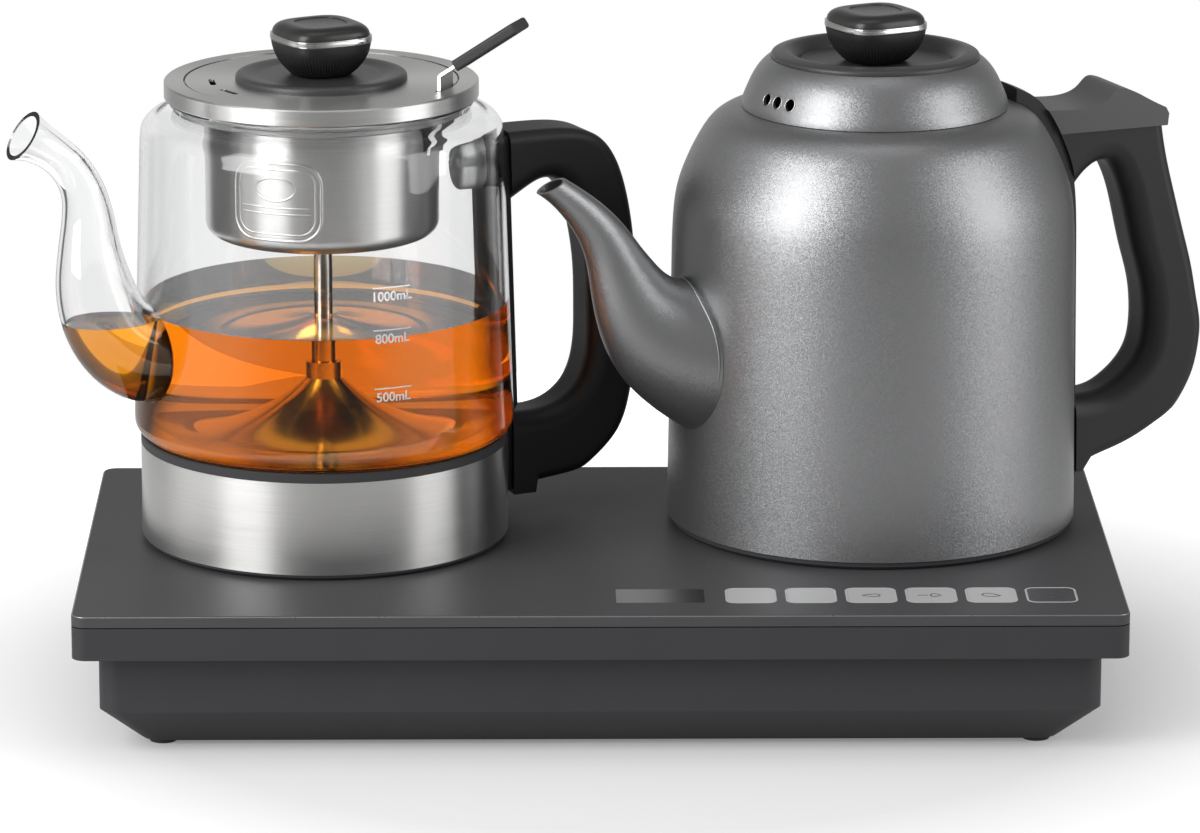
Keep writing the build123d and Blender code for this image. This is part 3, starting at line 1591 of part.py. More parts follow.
liner_seat = kettle_mouth_height + lift_gap
with BuildPart() as kettle_lid_liner:
    with BuildSketch(kettle_side):
        with BuildLine():
            Polyline(
                (0, liner_bottom),
                (liner_radius, liner_bottom),
                (liner_radius, liner_seat),
                (cone_base_radius - 1.5, liner_seat),
                (cone_base_radius - 1.5, liner_seat + cone_metal),
                (liner_radius - cone_metal, liner_seat + cone_metal),
                (liner_radius - cone_metal, liner_bottom + cone_metal),
                (0, liner_bottom + cone_metal),
                close=True,
            )
        make_face()
    revolve(axis=kettle_axis)
    with BuildSketch(vessel_level(kettle_origin, kettle_turn, liner_bottom)):
        with PolarLocations(liner_radius / 2, 6):
            Circle(vent_radius)
    extrude(amount=cone_metal, mode=Mode.SUBTRACT)
save("kettle_lid_liner", kettle_lid_liner.part)

with BuildPart() as kettle_lid_seal:
    with BuildSketch(vessel_level(kettle_origin, kettle_turn, kettle_mouth_height - kettle_lip_depth + 1)):
        Circle(kettle_opening_radius - lift_gap)
        Circle(liner_radius + fit_gap / 2, mode=Mode.SUBTRACT)
    extrude(amount=3)
save("kettle_lid_seal", kettle_lid_seal.part)
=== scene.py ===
import json
from math import cos, pi, radians, sin

import bmesh
import bpy
from mathutils import Matrix, Vector
from mathutils.bvhtree import BVHTree


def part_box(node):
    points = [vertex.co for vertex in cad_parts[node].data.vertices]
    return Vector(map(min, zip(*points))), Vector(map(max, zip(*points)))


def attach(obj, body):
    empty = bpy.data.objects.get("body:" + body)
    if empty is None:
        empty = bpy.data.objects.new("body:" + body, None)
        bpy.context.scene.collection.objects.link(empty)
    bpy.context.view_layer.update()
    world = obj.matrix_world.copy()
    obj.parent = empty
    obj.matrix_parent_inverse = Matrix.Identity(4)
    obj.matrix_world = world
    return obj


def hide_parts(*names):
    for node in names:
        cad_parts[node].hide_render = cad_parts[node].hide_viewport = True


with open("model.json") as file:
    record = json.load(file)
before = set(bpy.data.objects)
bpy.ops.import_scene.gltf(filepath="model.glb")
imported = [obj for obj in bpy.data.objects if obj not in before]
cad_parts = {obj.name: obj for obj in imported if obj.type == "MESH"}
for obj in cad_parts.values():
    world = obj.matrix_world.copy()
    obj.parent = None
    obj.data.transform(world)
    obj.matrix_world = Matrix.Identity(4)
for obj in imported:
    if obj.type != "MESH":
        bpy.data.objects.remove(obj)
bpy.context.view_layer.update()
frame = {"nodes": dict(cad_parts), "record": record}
nodes = frame["nodes"]
slots = {entry["node"]: entry["material_slot"] for entry in frame["record"]["subparts"]}
print("frame loaded:", len(nodes), "nodes")


def middle(node):  # centre of a CAD node's box
    low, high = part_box(node)
    return (low + high) / 2


mm = 0.001
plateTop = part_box("glass_top_plate")[1].z
baseCentre = middle("glass_top_plate")
potFoot = Vector((middle("pot_base_ring").x, middle("pot_base_ring").y, plateTop))
kettleFoot = Vector((middle("kettle_floor").x, middle("kettle_floor").y, plateTop))
potTurn = radians(25)  # where the handle points; the spout points the other way
kettleTurn = radians(22)


class Wire:  # a socket that can stand in a sum
    def __init__(self, paint, socket):
        self.paint = paint
        self.socket = socket

    def join(self, operation, first, second):
        return self.paint.node("ShaderNodeMath", {"operation": operation}, {0: first, 1: second})

    def __add__(self, other):
        return self.join("ADD", self, other)

    def __radd__(self, other):
        return self.join("ADD", other, self)

    def __sub__(self, other):
        return self.join("SUBTRACT", self, other)

    def __rsub__(self, other):
        return self.join("SUBTRACT", other, self)

    def __mul__(self, other):
        return self.join("MULTIPLY", self, other)

    def __rmul__(self, other):
        return self.join("MULTIPLY", other, self)

    def __truediv__(self, other):
        return self.join("DIVIDE", self, other)

    def __pow__(self, other):
        return self.join("POWER", self, other)


class Paint:  # the node tree of one finish
    def __init__(self, tree):
        self.tree = tree
        self.tree.nodes.clear()

    def node(self, kind, settings=None, values=None, out=0):
        made = self.tree.nodes.new(kind)
        for key, value in (settings or {}).items():
            if key == "stops":
                ramp = made.color_ramp.elements
                while len(ramp) < len(value):
                    ramp.new(0.5)
                for stop, (spot, shade) in zip(ramp, value):
                    stop.position = spot
                    stop.color = (*shade, 1) if isinstance(shade, tuple) else (shade, shade, shade, 1)
            else:
                setattr(made, key, value)
        for key, value in (values or {}).items():
            socket = made.inputs[key]
            if isinstance(value, Wire):
                self.tree.links.new(value.socket, socket)
            elif isinstance(value, tuple) and len(value) == 3 and socket.type == "RGBA":
                socket.default_value = (*value, 1)
            else:
                socket.default_value = value
        return Wire(self, made.outputs[out]) if made.outputs else None

    def where(self, stretch=(1, 1, 1)):  # the piece's own coordinates, in millimetres
        spot = self.node("ShaderNodeTexCoord", out="Object")
        sized = tuple(1000 * share for share in stretch)
        return self.node("ShaderNodeVectorMath", {"operation": "MULTIPLY"}, {0: spot, 1: sized})

    def noise(self, spot, scale, detail=2.0, rough=0.5):
        values = {"Vector": spot, "Scale": scale, "Detail": detail, "Roughness": rough}
        return self.node("ShaderNodeTexNoise", None, values)

    def ramp(self, value, *stops):
        return self.node("ShaderNodeValToRGB", {"stops": stops}, {"Fac": value})

    def span(self, value, low, high, lowResult=0.0, highResult=1.0):
        return self.node("ShaderNodeMapRange", None, {0: value, 1: low, 2: high, 3: lowResult, 4: highResult})

    def tint(self, share, first, second):
        return self.node("ShaderNodeMix", {"data_type": "RGBA"}, {0: share, 6: first, 7: second}, 2)

    def bump(self, height, strength, distance=0.0002):
        values = {"Height": height, "Strength": strength, "Distance": distance}
        return self.node("ShaderNodeBump", None, values)

    def ring(self, centre, around, across):  # coordinates that run round an upright axis, for brushing
        foot = tuple(centre / mm)
        spot = self.node("ShaderNodeVectorMath", {"operation": "SUBTRACT"}, {0: self.where(), 1: foot})
        flat = self.node("ShaderNodeVectorMath", {"operation": "MULTIPLY"}, {0: spot, 1: (1, 1, 0)})
        reach = self.node("ShaderNodeVectorMath", {"operation": "LENGTH"}, {0: flat}, "Value")
        turn = self.node("ShaderNodeVectorMath", {"operation": "NORMALIZE"}, {0: flat})
        turned = self.node("ShaderNodeVectorMath", {"operation": "SCALE"}, {0: turn, "Scale": around})
        height = self.node("ShaderNodeSeparateXYZ", None, {0: spot}, "Z")
        rise = self.node("ShaderNodeCombineXYZ", None, {"Z": (height + reach) * across})
        return self.node("ShaderNodeVectorMath", {"operation": "ADD"}, {0: turned, 1: rise})


def finish(name, values):
    # values are the shader's sockets, or a function of the paint that gives them
    material = bpy.data.materials.new(name)
    material.use_nodes = True
    paint = Paint(material.node_tree)
    sockets = values(paint) if callable(values) else values
    shader = paint.node("ShaderNodeBsdfPrincipled", None, sockets)
    paint.node("ShaderNodeOutputMaterial", None, {"Surface": shader})
    return material


# finishes, one for each material slot of the record
def mouldedPlastic(shade, rough, grain=0.25, gloss=0.5):
    def sockets(paint):
        spot = paint.where()
        fine = paint.noise(spot, 2.6, 3.0, 0.6)
        broad = paint.noise(spot, 0.02, 2.0)
        darker = tuple(part * 0.86 for part in shade)
        return {
            "Base Color": paint.tint(broad, darker, shade),
            "Roughness": paint.span(fine, 0.3, 0.7, rough - 0.04, rough + 0.05),
            "Specular IOR Level": gloss,
            "Normal": paint.bump(fine, grain, 0.00006),
        }

    return sockets


def brushedMetal(centre, shade, rough, lines=0.12, stretch=0.75):
    def sockets(paint):
        spot = paint.ring(centre, 2.0, 4.0)
        lineNoise = paint.noise(spot, 1.0, 4.0, 0.65)
        darker = tuple(part * 0.88 for part in shade)
        return {
            "Base Color": paint.tint(paint.span(lineNoise, 0.3, 0.7), darker, shade),
            "Metallic": 1.0,
            "Roughness": paint.span(lineNoise, 0.25, 0.75, rough - 0.05, rough + 0.05),
            "Anisotropic": stretch,
            "Anisotropic Rotation": 0.25,
            "Normal": paint.bump(lineNoise, lines, 0.00003),
        }

    return sockets


def plainMetal(shade, rough):
    def sockets(paint):
        fine = paint.noise(paint.where(), 0.8, 3.0, 0.6)
        darker = tuple(part * 0.85 for part in shade)
        return {
            "Base Color": paint.tint(fine, darker, shade),
            "Metallic": 1.0,
            "Roughness": paint.span(fine, 0.3, 0.7, rough - 0.04, rough + 0.05),
        }

    return sockets


def sparklePaint(paint):  # the kettle's grey metallic paint, with a tilt of its own for each flake
    spot = paint.where()
    flakes = paint.node("ShaderNodeTexVoronoi", {"feature": "F1"}, {"Vector": spot, "Scale": 5.0}, "Color")
    mottle = paint.noise(spot, 2.2, 3.0, 0.7)
    tilt = paint.node("ShaderNodeVectorMath", {"operation": "SUBTRACT"}, {0: flakes, 1: (0.5, 0.5, 0.5)})
    tilted = paint.node("ShaderNodeVectorMath", {"operation": "SCALE"}, {0: tilt, "Scale": 0.2})
    facing = paint.node("ShaderNodeNewGeometry", out="Normal")
    leaning = paint.node("ShaderNodeVectorMath", {"operation": "ADD"}, {0: facing, 1: tilted})
    return {
        "Base Color": paint.tint(mottle, (0.265, 0.267, 0.272), (0.32, 0.322, 0.328)),
        "Metallic": 0.9,
        "Roughness": paint.span(mottle, 0.3, 0.7, 0.36, 0.42),
        "Normal": paint.node("ShaderNodeVectorMath", {"operation": "NORMALIZE"}, {0: leaning}),
    }


def smokedWindow(paint):  # a smoked window with a painted sheen that makes it paler at its left end
    low, high = (corner.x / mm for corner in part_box("display_window"))
    along = paint.node("ShaderNodeSeparateXYZ", None, {0: paint.where()}, "X")
    return {
        # painted sheen: the colour runs from a pale grey at the left end to near black at the right
        "Base Color": paint.tint(paint.span(along, low, high), (0.17, 0.17, 0.175), (0.01, 0.01, 0.011)),
        "Roughness": 0.3,
        "Specular IOR Level": 0.4,
    }


finishes = {
    "charcoal_plastic": finish("charcoalPlastic", mouldedPlastic((0.038, 0.038, 0.041), 0.5, 0.12, 0.3)),
    "plate_glass": finish("plateGlass", mouldedPlastic((0.062, 0.062, 0.065), 0.48, 0.05, 0.22)),
    "pad_silver": finish("padSilver", mouldedPlastic((0.43, 0.43, 0.435), 0.4, 0.04, 0.4)),
    "pad_dark": finish("padDark", mouldedPlastic((0.05, 0.05, 0.053), 0.3, 0.05)),
    "display_black": finish("displayBlack", smokedWindow),
    "circuit_board": finish("circuitBoard", mouldedPlastic((0.01, 0.09, 0.03), 0.4)),
    "transformer_wrap": finish("transformerWrap", mouldedPlastic((0.45, 0.33, 0.05), 0.45)),
    "foot_rubber": finish("footRubber", mouldedPlastic((0.02, 0.02, 0.021), 0.7)),
    "fastener_steel": finish("fastenerSteel", plainMetal((0.5, 0.5, 0.5), 0.3)),
    "brushed_steel": finish("brushedSteel", brushedMetal(potFoot, (0.68, 0.675, 0.665), 0.33)),
    "polished_steel": finish("polishedSteel", brushedMetal(potFoot, (0.8, 0.79, 0.77), 0.16, 0.04, 0.3)),
    "heater_aluminium": finish("heaterAluminium", plainMetal((0.6, 0.6, 0.6), 0.4)),
    "handle_plastic": finish("handlePlastic", mouldedPlastic((0.014, 0.014, 0.0155), 0.46, 0.3, 0.4)),
    "grey_plastic": finish("greyPlastic", mouldedPlastic((0.075, 0.075, 0.078), 0.4, 0.12)),
    "knob_cap_plastic": finish("knobCapPlastic", mouldedPlastic((0.022, 0.0215, 0.021), 0.3, 0.1)),
    "trim_metal": finish("trimMetal", plainMetal((0.62, 0.62, 0.61), 0.2)),
    "trim_line": finish("trimLine", plainMetal((0.42, 0.42, 0.42), 0.3)),
    "disc_plastic": finish("discPlastic", mouldedPlastic((0.042, 0.042, 0.044), 0.36, 0.12, 0.45)),
    "silicone_dark": finish("siliconeDark", mouldedPlastic((0.03, 0.03, 0.03), 0.6)),
    "kettle_paint": finish("kettlePaint", sparklePaint),
}


def clearFinish(name, shade, ior, mirror):
    sockets = {"Base Color": shade, "Roughness": 0.0, "IOR": ior, "Transmission Weight": 1.0}
    return finish(name, {**sockets, "Specular IOR Level": mirror})


finishes["clear_glass"] = clearFinish("clearGlass", (0.97, 0.972, 0.975), 1.45, 0.5)
filledGlass = clearFinish("filledGlass", (0.98, 0.98, 0.98), 1.45, 0.08)  # below the tea's level
wetGlass = clearFinish("wetGlass", (1.0, 1.0, 1.0), 1.45, 0.0)  # where the tea touches it
finishes["silicone_clear"] = finish(
    "siliconeClear",
    {"Base Color": (0.86, 0.87, 0.87), "Roughness": 0.32, "IOR": 1.4, "Transmission Weight": 0.75},
)


def clearLiquid(name, density):  # one finish for top and sides, so that its volume ends where it should
    material = bpy.data.materials.new(name)
    material.use_nodes = True
    paint = Paint(material.node_tree)
    sockets = {"Roughness": 0.0, "IOR": 1.33, "Transmission Weight": 1.0}
    top = {**sockets, "Base Color": (1.0, 1.0, 1.0)}
    side = {**sockets, "Base Color": (1.0, 0.58, 0.09), "Specular IOR Level": 0.0}  # against the glass
    upward = paint.node("ShaderNodeNewGeometry", out="True Normal")
    level = paint.node("ShaderNodeSeparateXYZ", None, {0: upward}, "Z")
    onTop = paint.node("ShaderNodeMath", {"operation": "ABSOLUTE"}, {0: level})
    onTop = paint.node("ShaderNodeMath", {"operation": "GREATER_THAN"}, {0: onTop, 1: 0.999})
    ends = [paint.node("ShaderNodeBsdfPrincipled", None, values) for values in (side, top)]
    surface = paint.node("ShaderNodeMixShader", None, {0: onTop, 1: ends[0], 2: ends[1]})
    depth = {"Color": (0.965, 0.82, 0.45), "Density": density}
    volume = paint.node("ShaderNodeVolumeAbsorption", None, depth)
    paint.node("ShaderNodeOutputMaterial", None, {"Surface": surface, "Volume": volume})
    return material


teaFinish = clearLiquid("tea", 55.0)
spoutTea = clearLiquid("spoutTea", 110.0)


def whitePrint(paint):
    shade = paint.tint(paint.noise(paint.where(), 2.0), (0.82, 0.82, 0.82), (0.9, 0.9, 0.9))
    return {"Base Color": shade, "Roughness": 0.5}


printFinish = finish("whitePrint", whitePrint)


# shapes
def addMesh(name, points, faces, finishName, body, smoothAngle=35):
    mesh = bpy.data.meshes.new(name)
    mesh.from_pydata([tuple(point) for point in points], [], faces)
    mesh.validate()
    return addObject(name, mesh, finishName, body, smoothAngle)


def addObject(name, mesh, finishName, body, smoothAngle=35):
    piece = bpy.data.objects.new(name, mesh)
    bpy.context.scene.collection.objects.link(piece)
    grid = bmesh.new()
    grid.from_mesh(mesh)
    bmesh.ops.remove_doubles(grid, verts=grid.verts, dist=1e-6)
    bmesh.ops.recalc_face_normals(grid, faces=grid.faces)
    grid.to_mesh(mesh)
    grid.free()
    smooth(piece, smoothAngle)
    if finishName:
        mesh.materials.clear()
        mesh.materials.append(finishes[finishName] if isinstance(finishName, str) else finishName)
    if body:
        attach(piece, body)
    return piece


def smooth(piece, angle=35):
    piece.data.shade_smooth()
    piece.data.set_sharp_from_angle(angle=radians(angle))


def flowing(points, steps=8):  # a smooth curve through points of any length
    spots = [Vector(point) for point in points]
    spots = [spots[0] * 2 - spots[1]] + spots + [spots[-1] * 2 - spots[-2]]
    curve = []
    for index in range(1, len(spots) - 2):
        before, start, end, after = spots[index - 1 : index + 3]
        spans = [max((b - a).length, 1e-9) ** 0.5 for a, b in ((before, start), (start, end), (end, after))]
        first, second, third = spans
        leave = (start - before) / first - (end - before) / (first + second) + (end - start) / second
        arrive = (end - start) / second - (after - start) / (second + third) + (after - end) / third
        leave, arrive = leave * second, arrive * second
        for step in range(steps):
            t = step / steps
            curve.append(
                start * (2 * t**3 - 3 * t**2 + 1)
                + leave * (t**3 - 2 * t**2 + t)
                + end * (3 * t**2 - 2 * t**3)
                + arrive * (t**3 - t**2)
            )
    curve.append(spots[-2])
    return curve


def lathe(profile, foot, turns=180):  # points and faces of a profile of reach and height turned round foot
    points, rows = [], []
    for reach, height in profile:
        if abs(reach) < 1e-6:
            rows.append([len(points)] * turns)
            points.append(foot + Vector((0, 0, height * mm)))
            continue
        rows.append(list(range(len(points), len(points) + turns)))
        for index in range(turns):
            turn = 2 * pi * index / turns
            points.append(foot + Vector((reach * cos(turn), reach * sin(turn), height)) * mm)
    faces = []
    for low, high in zip(rows, rows[1:]):
        for index in range(turns):
            following = (index + 1) % turns
            face = [low[index], low[following], high[following], high[index]]
            face = [spot for number, spot in enumerate(face) if spot not in face[:number]]
            if len(face) > 2:
                faces.append(face)
    return points, faces


def sweep(stations, foot, turn, grow=0.0, sides=72):
    # stations are reach, height, pitch, half height and half width; turn is where the spout points
    out = Vector((cos(turn), sin(turn), 0))
    across = Vector((-sin(turn), cos(turn), 0))
    points = []
    for reach, height, pitch, halfHeight, halfWidth in stations:
        pitch = radians(pitch)
        centre = foot + (out * reach + Vector((0, 0, height))) * mm
        rise = out * -sin(pitch) + Vector((0, 0, cos(pitch)))
        for index in range(sides):
            a = 2 * pi * index / sides
            spot = rise * (halfHeight + grow) * cos(a) + across * (halfWidth + grow) * sin(a)
            points.append(centre + spot * mm)
    faces = [list(range(sides))[::-1]]
    for row in range(len(stations) - 1):
        for index in range(sides):
            following = (index + 1) % sides
            low, high = row * sides, (row + 1) * sides
            faces.append([low + index, low + following, high + following, high + index])
    last = (len(stations) - 1) * sides
    faces.append(list(range(last, last + sides)))
    return points, faces


def solid(points, faces):  # a plain helper object for cutting and joining
    mesh = bpy.data.meshes.new("tool")
    mesh.from_pydata([tuple(point) for point in points], [], faces)
    tool = bpy.data.objects.new("tool", mesh)
    bpy.context.scene.collection.objects.link(tool)
    grid = bmesh.new()
    grid.from_mesh(mesh)
    bmesh.ops.remove_doubles(grid, verts=grid.verts, dist=1e-7)
    bmesh.ops.recalc_face_normals(grid, faces=grid.faces)
    grid.to_mesh(mesh)
    grid.free()
    return tool


def combine(piece, tool, operation):
    change = piece.modifiers.new("combine", "BOOLEAN")
    change.operation = operation
    change.solver = "EXACT"
    change.object = tool
    bpy.context.view_layer.update()
    mesh = bpy.data.meshes.new_from_object(piece.evaluated_get(bpy.context.evaluated_depsgraph_get()))
    piece.modifiers.clear()
    piece.data = mesh
    bpy.data.objects.remove(tool)
    return piece


def block(low, high):
    corners = [Vector((x, y, z)) for x in (low.x, high.x) for y in (low.y, high.y) for z in (low.z, high.z)]
    sides = [(0, 1, 3, 2), (4, 6, 7, 5), (0, 4, 5, 1), (2, 3, 7, 6), (0, 2, 6, 4), (1, 5, 7, 3)]
    return corners, sides


# the glass pot: a body and a hollow gooseneck spout
glass = {
    "lowRadius": 68.7,
    "highRadius": 65.3,
    "highHeight": 147.5,
    "floor": 39.4,
    "corner": 5.5,
    "neck": 53.4,
    "neckStart": 158.4,
    "rimRadius": 54.6,
    "rimThickness": 1.6,
    "rimTop": 161.6,
    "wall": 2.2,
    "spoutWall": 1.8,
    "spout": (
        (58, 72.5, 4, 17.6, 17.0),
        (70, 74.6, 20, 17.4, 16.6),
        (80, 81.6, 44, 16.4, 15.6),
        (86.2, 92.2, 62, 15.2, 14.4),
        (89.2, 104, 76, 13.4, 12.8),
        (90.2, 116, 84, 11.0, 10.6),
        (90.6, 127, 82, 9.2, 9.0),
        (92.4, 136.5, 70, 7.8, 7.7),
        (97.4, 145.4, 52, 7.0, 6.9),
        (104.0, 151.6, 39, 7.0, 6.9),
        (110.0, 155.6, 34, 8.0, 7.9),
        (114.2, 157.9, 33, 9.6, 9.5),
    ),
}


def glassProfile(inset, floor, withRim):
    low = glass["lowRadius"] - inset
    high = glass["highRadius"] - inset
    neck = glass["neck"] - inset
    corner = glass["corner"] - inset
    top = glass["highHeight"]
    start = glass["neckStart"] - inset * 0.8
    profile = [(0, floor), (low - corner, floor)]
    for step in range(1, 9):
        a = pi / 2 * step / 8
        profile.append((low - corner + corner * sin(a), floor + corner - corner * cos(a)))
    for step in range(1, 24):
        share = step / 24
        profile.append((low + (high - low) * share, floor + corner + (top - floor - corner) * share))
    shoulder = [(high, top), (high - 0.8, top + 4.7 - inset * 0.3)]
    shoulder += [(high - 4, top + 8.2 - inset * 0.7), (neck, start)]
    profile += [tuple(spot) for spot in flowing(shoulder, 8)]
    rimTop = glass["rimTop"]
    if withRim:
        rim, thick = glass["rimRadius"], glass["rimThickness"]
        profile += [(neck, rimTop - thick), (rim - 0.4, rimTop - thick), (rim, rimTop - thick + 0.4)]
        profile += [(rim, rimTop - 0.4), (rim - 0.4, rimTop), (0, rimTop)]
    else:
        profile += [(neck, rimTop + 2), (0, rimTop + 2)]
    return profile


spoutStations = [tuple(spot) for spot in flowing(glass["spout"], 6)]
spoutTurn = potTurn + pi
potGlass = solid(*lathe(glassProfile(0, glass["floor"], True), potFoot))
combine(potGlass, solid(*sweep(spoutStations, potFoot, spoutTurn)), "UNION")
inside = solid(*lathe(glassProfile(glass["wall"], glass["floor"] + glass["wall"], False), potFoot))
lastStation = spoutStations[-1]
longer = spoutStations + [(lastStation[0] + 3, lastStation[1] + 2, *lastStation[2:])]
combine(potGlass, inside, "DIFFERENCE")
combine(potGlass, solid(*sweep(longer, potFoot, spoutTurn, -glass["spoutWall"])), "DIFFERENCE")
potGlass.name = "potGlassBody"
potGlass.data.materials.clear()
potGlass.data.materials.append(finishes["clear_glass"])
smooth(potGlass, 30)
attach(potGlass, "pot")
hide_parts("pot_glass", "pot_spout")
print("glass done")

# the tea fills the body and the foot of the spout up to one level
tea = {"level": 88.0, "bite": 0.7, "overlap": 0.2}
level = potFoot.z + tea["level"] * mm


def pourTea(name, piece, liquid):
    above = Vector((potFoot.x - 0.2, potFoot.y - 0.2, level))
    combine(piece, solid(*block(above, above + Vector((0.4, 0.4, 0.2)))), "DIFFERENCE")
    piece.name = name
    piece.data.materials.clear()
    piece.data.materials.append(liquid)
    smooth(piece, 30)
    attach(piece, "pot")
    return BVHTree.FromObject(piece, bpy.context.evaluated_depsgraph_get())


wet = glass["wall"] - tea["bite"]
teaInBody = solid(*lathe(glassProfile(wet, glass["floor"] + wet, False), potFoot))
teaInSpout = solid(*sweep(spoutStations, potFoot, spoutTurn, tea["bite"] - glass["spoutWall"]))
hollow = solid(*lathe(glassProfile(wet + tea["overlap"], glass["floor"] + wet, False), potFoot))
combine(teaInSpout, hollow, "DIFFERENCE")
skins = [pourTea("teaInBody", teaInBody, teaFinish), pourTea("teaInSpout", teaInSpout, spoutTea)]

# the inside of the glass below the level hardly mirrors
potGlass.data.materials.append(filledGlass)
potGlass.data.materials.append(wetGlass)
for face in potGlass.data.polygons:
    if face.center.z < level:
        touching = [skin.find_nearest(face.center, (tea["bite"] + 0.2) * mm)[0] for skin in skins]
        face.material_index = 1 if touching == [None, None] else 2
print("tea done")


def tube(name, path, radius, finishName, body, closed=True, sides=10, flatten=1.0, upward=None):
    # a round bead along a path of points; flatten squeezes it along upward
    count = len(path)
    points, faces = [], []
    for index, spot in enumerate(path):
        before = path[index - 1] if closed or index else spot
        after = path[(index + 1) % count] if closed or index < count - 1 else spot
        along = (after - before).normalized()
        lift = (upward[index] if upward else Vector((0, 0, 1))).normalized()
        across = along.cross(lift).normalized()
        lift = across.cross(along)
        for step in range(sides):
            a = 2 * pi * step / sides
            points.append(spot + (across * cos(a) + lift * sin(a) * flatten) * radius * mm)
    for row in range(count if closed else count - 1):
        low, high = row * sides, ((row + 1) % count) * sides
        for step in range(sides):
            following = (step + 1) % sides
            faces.append([low + step, low + following, high + following, high + step])
    if not closed:
        faces.append(list(range(sides))[::-1])
        faces.append(list(range((count - 1) * sides, count * sides)))
    return addMesh(name, points, faces, finishName, body, 50)


def roundedRectangle(width, height, corner, steps=8):  # flat points round a middle at 0, 0
    outline = []
    for quarter in range(4):
        a = quarter * pi / 2
        middleX = (width / 2 - corner) * (1 if quarter in (0, 3) else -1)
        middleY = (height / 2 - corner) * (1 if quarter < 2 else -1)
        for step in range(steps + 1):
            b = a + pi / 2 * step / steps
            outline.append((middleX + corner * cos(b), middleY + corner * sin(b)))
    return outline


def divided(outline, longest):  # more points on the long runs of a closed outline
    result = []
    for start, end in zip(outline, outline[1:] + outline[:1]):
        share = max(1, int(max(abs(end[0] - start[0]), abs(end[1] - start[1])) / longest))
        for step in range(share):
            t = step / share
            result.append((start[0] + (end[0] - start[0]) * t, start[1] + (end[1] - start[1]) * t))
    return result


# knobs: a ribbed bowl, a polished band and a crowned cap with a bare sunk panel
knob = {
    "turn": 28,
    "half": 16.0,
    "footHalf": 9.6,
    "squareness": 3.4,
    "footSquareness": 2.3,
    "ribs": 88,
    "ribDepth": 0.24,
    "bandLip": 0.3,
    "sides": 192,
    "panelHalf": 8.6,
    "panelSink": 0.4,
    "band": (  # share of the band's height, and how far out of its lip
        (0, -0.9), (0, -0.25), (0.12, -0.05), (0.3, 0), (0.62, 0), (0.7, -0.16),
        (0.78, -0.16), (0.84, 0), (0.94, -0.05), (1, -0.3), (1, -2),
    ),
}


def squareRing(centre, height, half, squareness, count, ripple=0.0):
    ring = []
    for index in range(count):
        a = 2 * pi * index / count
        c, d = cos(a), sin(a)
        reach = half / (abs(c) ** squareness + abs(d) ** squareness) ** (1 / squareness)
        reach += ripple * cos(knob["ribs"] * a)
        a += radians(knob["turn"])
        ring.append(centre + Vector((reach * cos(a), reach * sin(a), height)) * mm)
    return ring


def stack(rings, closeLow=True, closeHigh=True):  # points and faces through rings of equal length
    count = len(rings[0])
    points = [spot for ring in rings for spot in ring]
    faces = [list(range(count))[::-1]] if closeLow else []
    for row in range(len(rings) - 1):
        for index in range(count):
            following = (index + 1) % count
            low, high = row * count, (row + 1) * count
            faces.append([low + index, low + following, high + following, high + index])
    if closeHigh:
        faces.append(list(range(len(points) - count, len(points))))
    return points, faces


def dressKnob(vessel, body, axis):
    low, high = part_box(vessel + "_knob_body")
    foot = Vector((axis.x, axis.y, low.z))
    tall = (high.z - low.z) / mm
    rings = []
    for step in range(31):
        share = step / 30
        swell = sin(pi / 2 * share ** 0.8)
        half = knob["footHalf"] + (knob["half"] - knob["footHalf"]) * swell
        square = knob["footSquareness"] + (knob["squareness"] - knob["footSquareness"]) * share
        fade = max(0.0, min(1.0, (0.78 - share) / 0.4))
        rings.append(squareRing(foot, share * tall, half, square, knob["ribs"] * 8, knob["ribDepth"] * fade))
    bowl = addMesh(vessel + "KnobBowl", *stack(rings), "handle_plastic", body, 60)
    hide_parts(vessel + "_knob_body")

    low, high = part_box(vessel + "_knob_trim")
    tall = (high.z - low.z) / mm
    foot.z = low.z
    lip = knob["half"] + knob["bandLip"]
    square, sides = knob["squareness"], knob["sides"]
    rings = [squareRing(foot, share * tall, lip + out, square, sides) for share, out in knob["band"]]
    band = addMesh(vessel + "KnobBand", *stack(rings), "trim_metal", body, 40)
    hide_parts(vessel + "_knob_trim")

    low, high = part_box(vessel + "_knob_cap")
    tall = (high.z - low.z) / mm
    foot.z = low.z
    panel = knob["panelHalf"]
    edge = lip - 0.7
    rings = [squareRing(foot, 0, edge, square, sides)]
    for step in range(15):
        a = pi / 2 * step / 14
        half = panel + 2.2 + (edge - panel - 2.2) * cos(a)
        rings.append(squareRing(foot, 0.25 + (tall - 0.25) * sin(a), half, square, sides))
    sunk = tall - knob["panelSink"]
    steps = ((0.5, tall), (0.15, tall - 0.08), (0, sunk + 0.06), (-0.3, sunk))
    for wider, height in steps:
        rings.append(squareRing(foot, height, panel + wider, 3.0, sides))
    cap = addMesh(vessel + "KnobCap", *stack(rings), "knob_cap_plastic", body, 40)
    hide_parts(vessel + "_knob_cap")


dressKnob("pot", "pot_lid", potFoot)
dressKnob("kettle", "kettle_lid", kettleFoot)
print("knobs done")

# the volume marks printed on the glass: a line over each number
marks = {
    "middle": -67.2,  # degrees round the pot
    "lineLength": 14.2,
    "lineWidth": 0.5,
    "textHeight": 4.7,
    "textWeight": 0.09,
    "rows": ((106.2, "1000mL"), (91.0, "800mL"), (70.0, "500mL")),
    "lift": 0.06,
}


def glassRadius(height):
    share = (height - glass["floor"]) / (glass["highHeight"] - glass["floor"])
    return glass["lowRadius"] + (glass["highRadius"] - glass["lowRadius"]) * share


def onGlass(x, height, lift):  # x runs round the glass from the marks' middle, in millimetres
    reach = glassRadius(height) + lift
    turn = radians(marks["middle"]) + x / reach
    return potFoot + Vector((reach * cos(turn), reach * sin(turn), height)) * mm


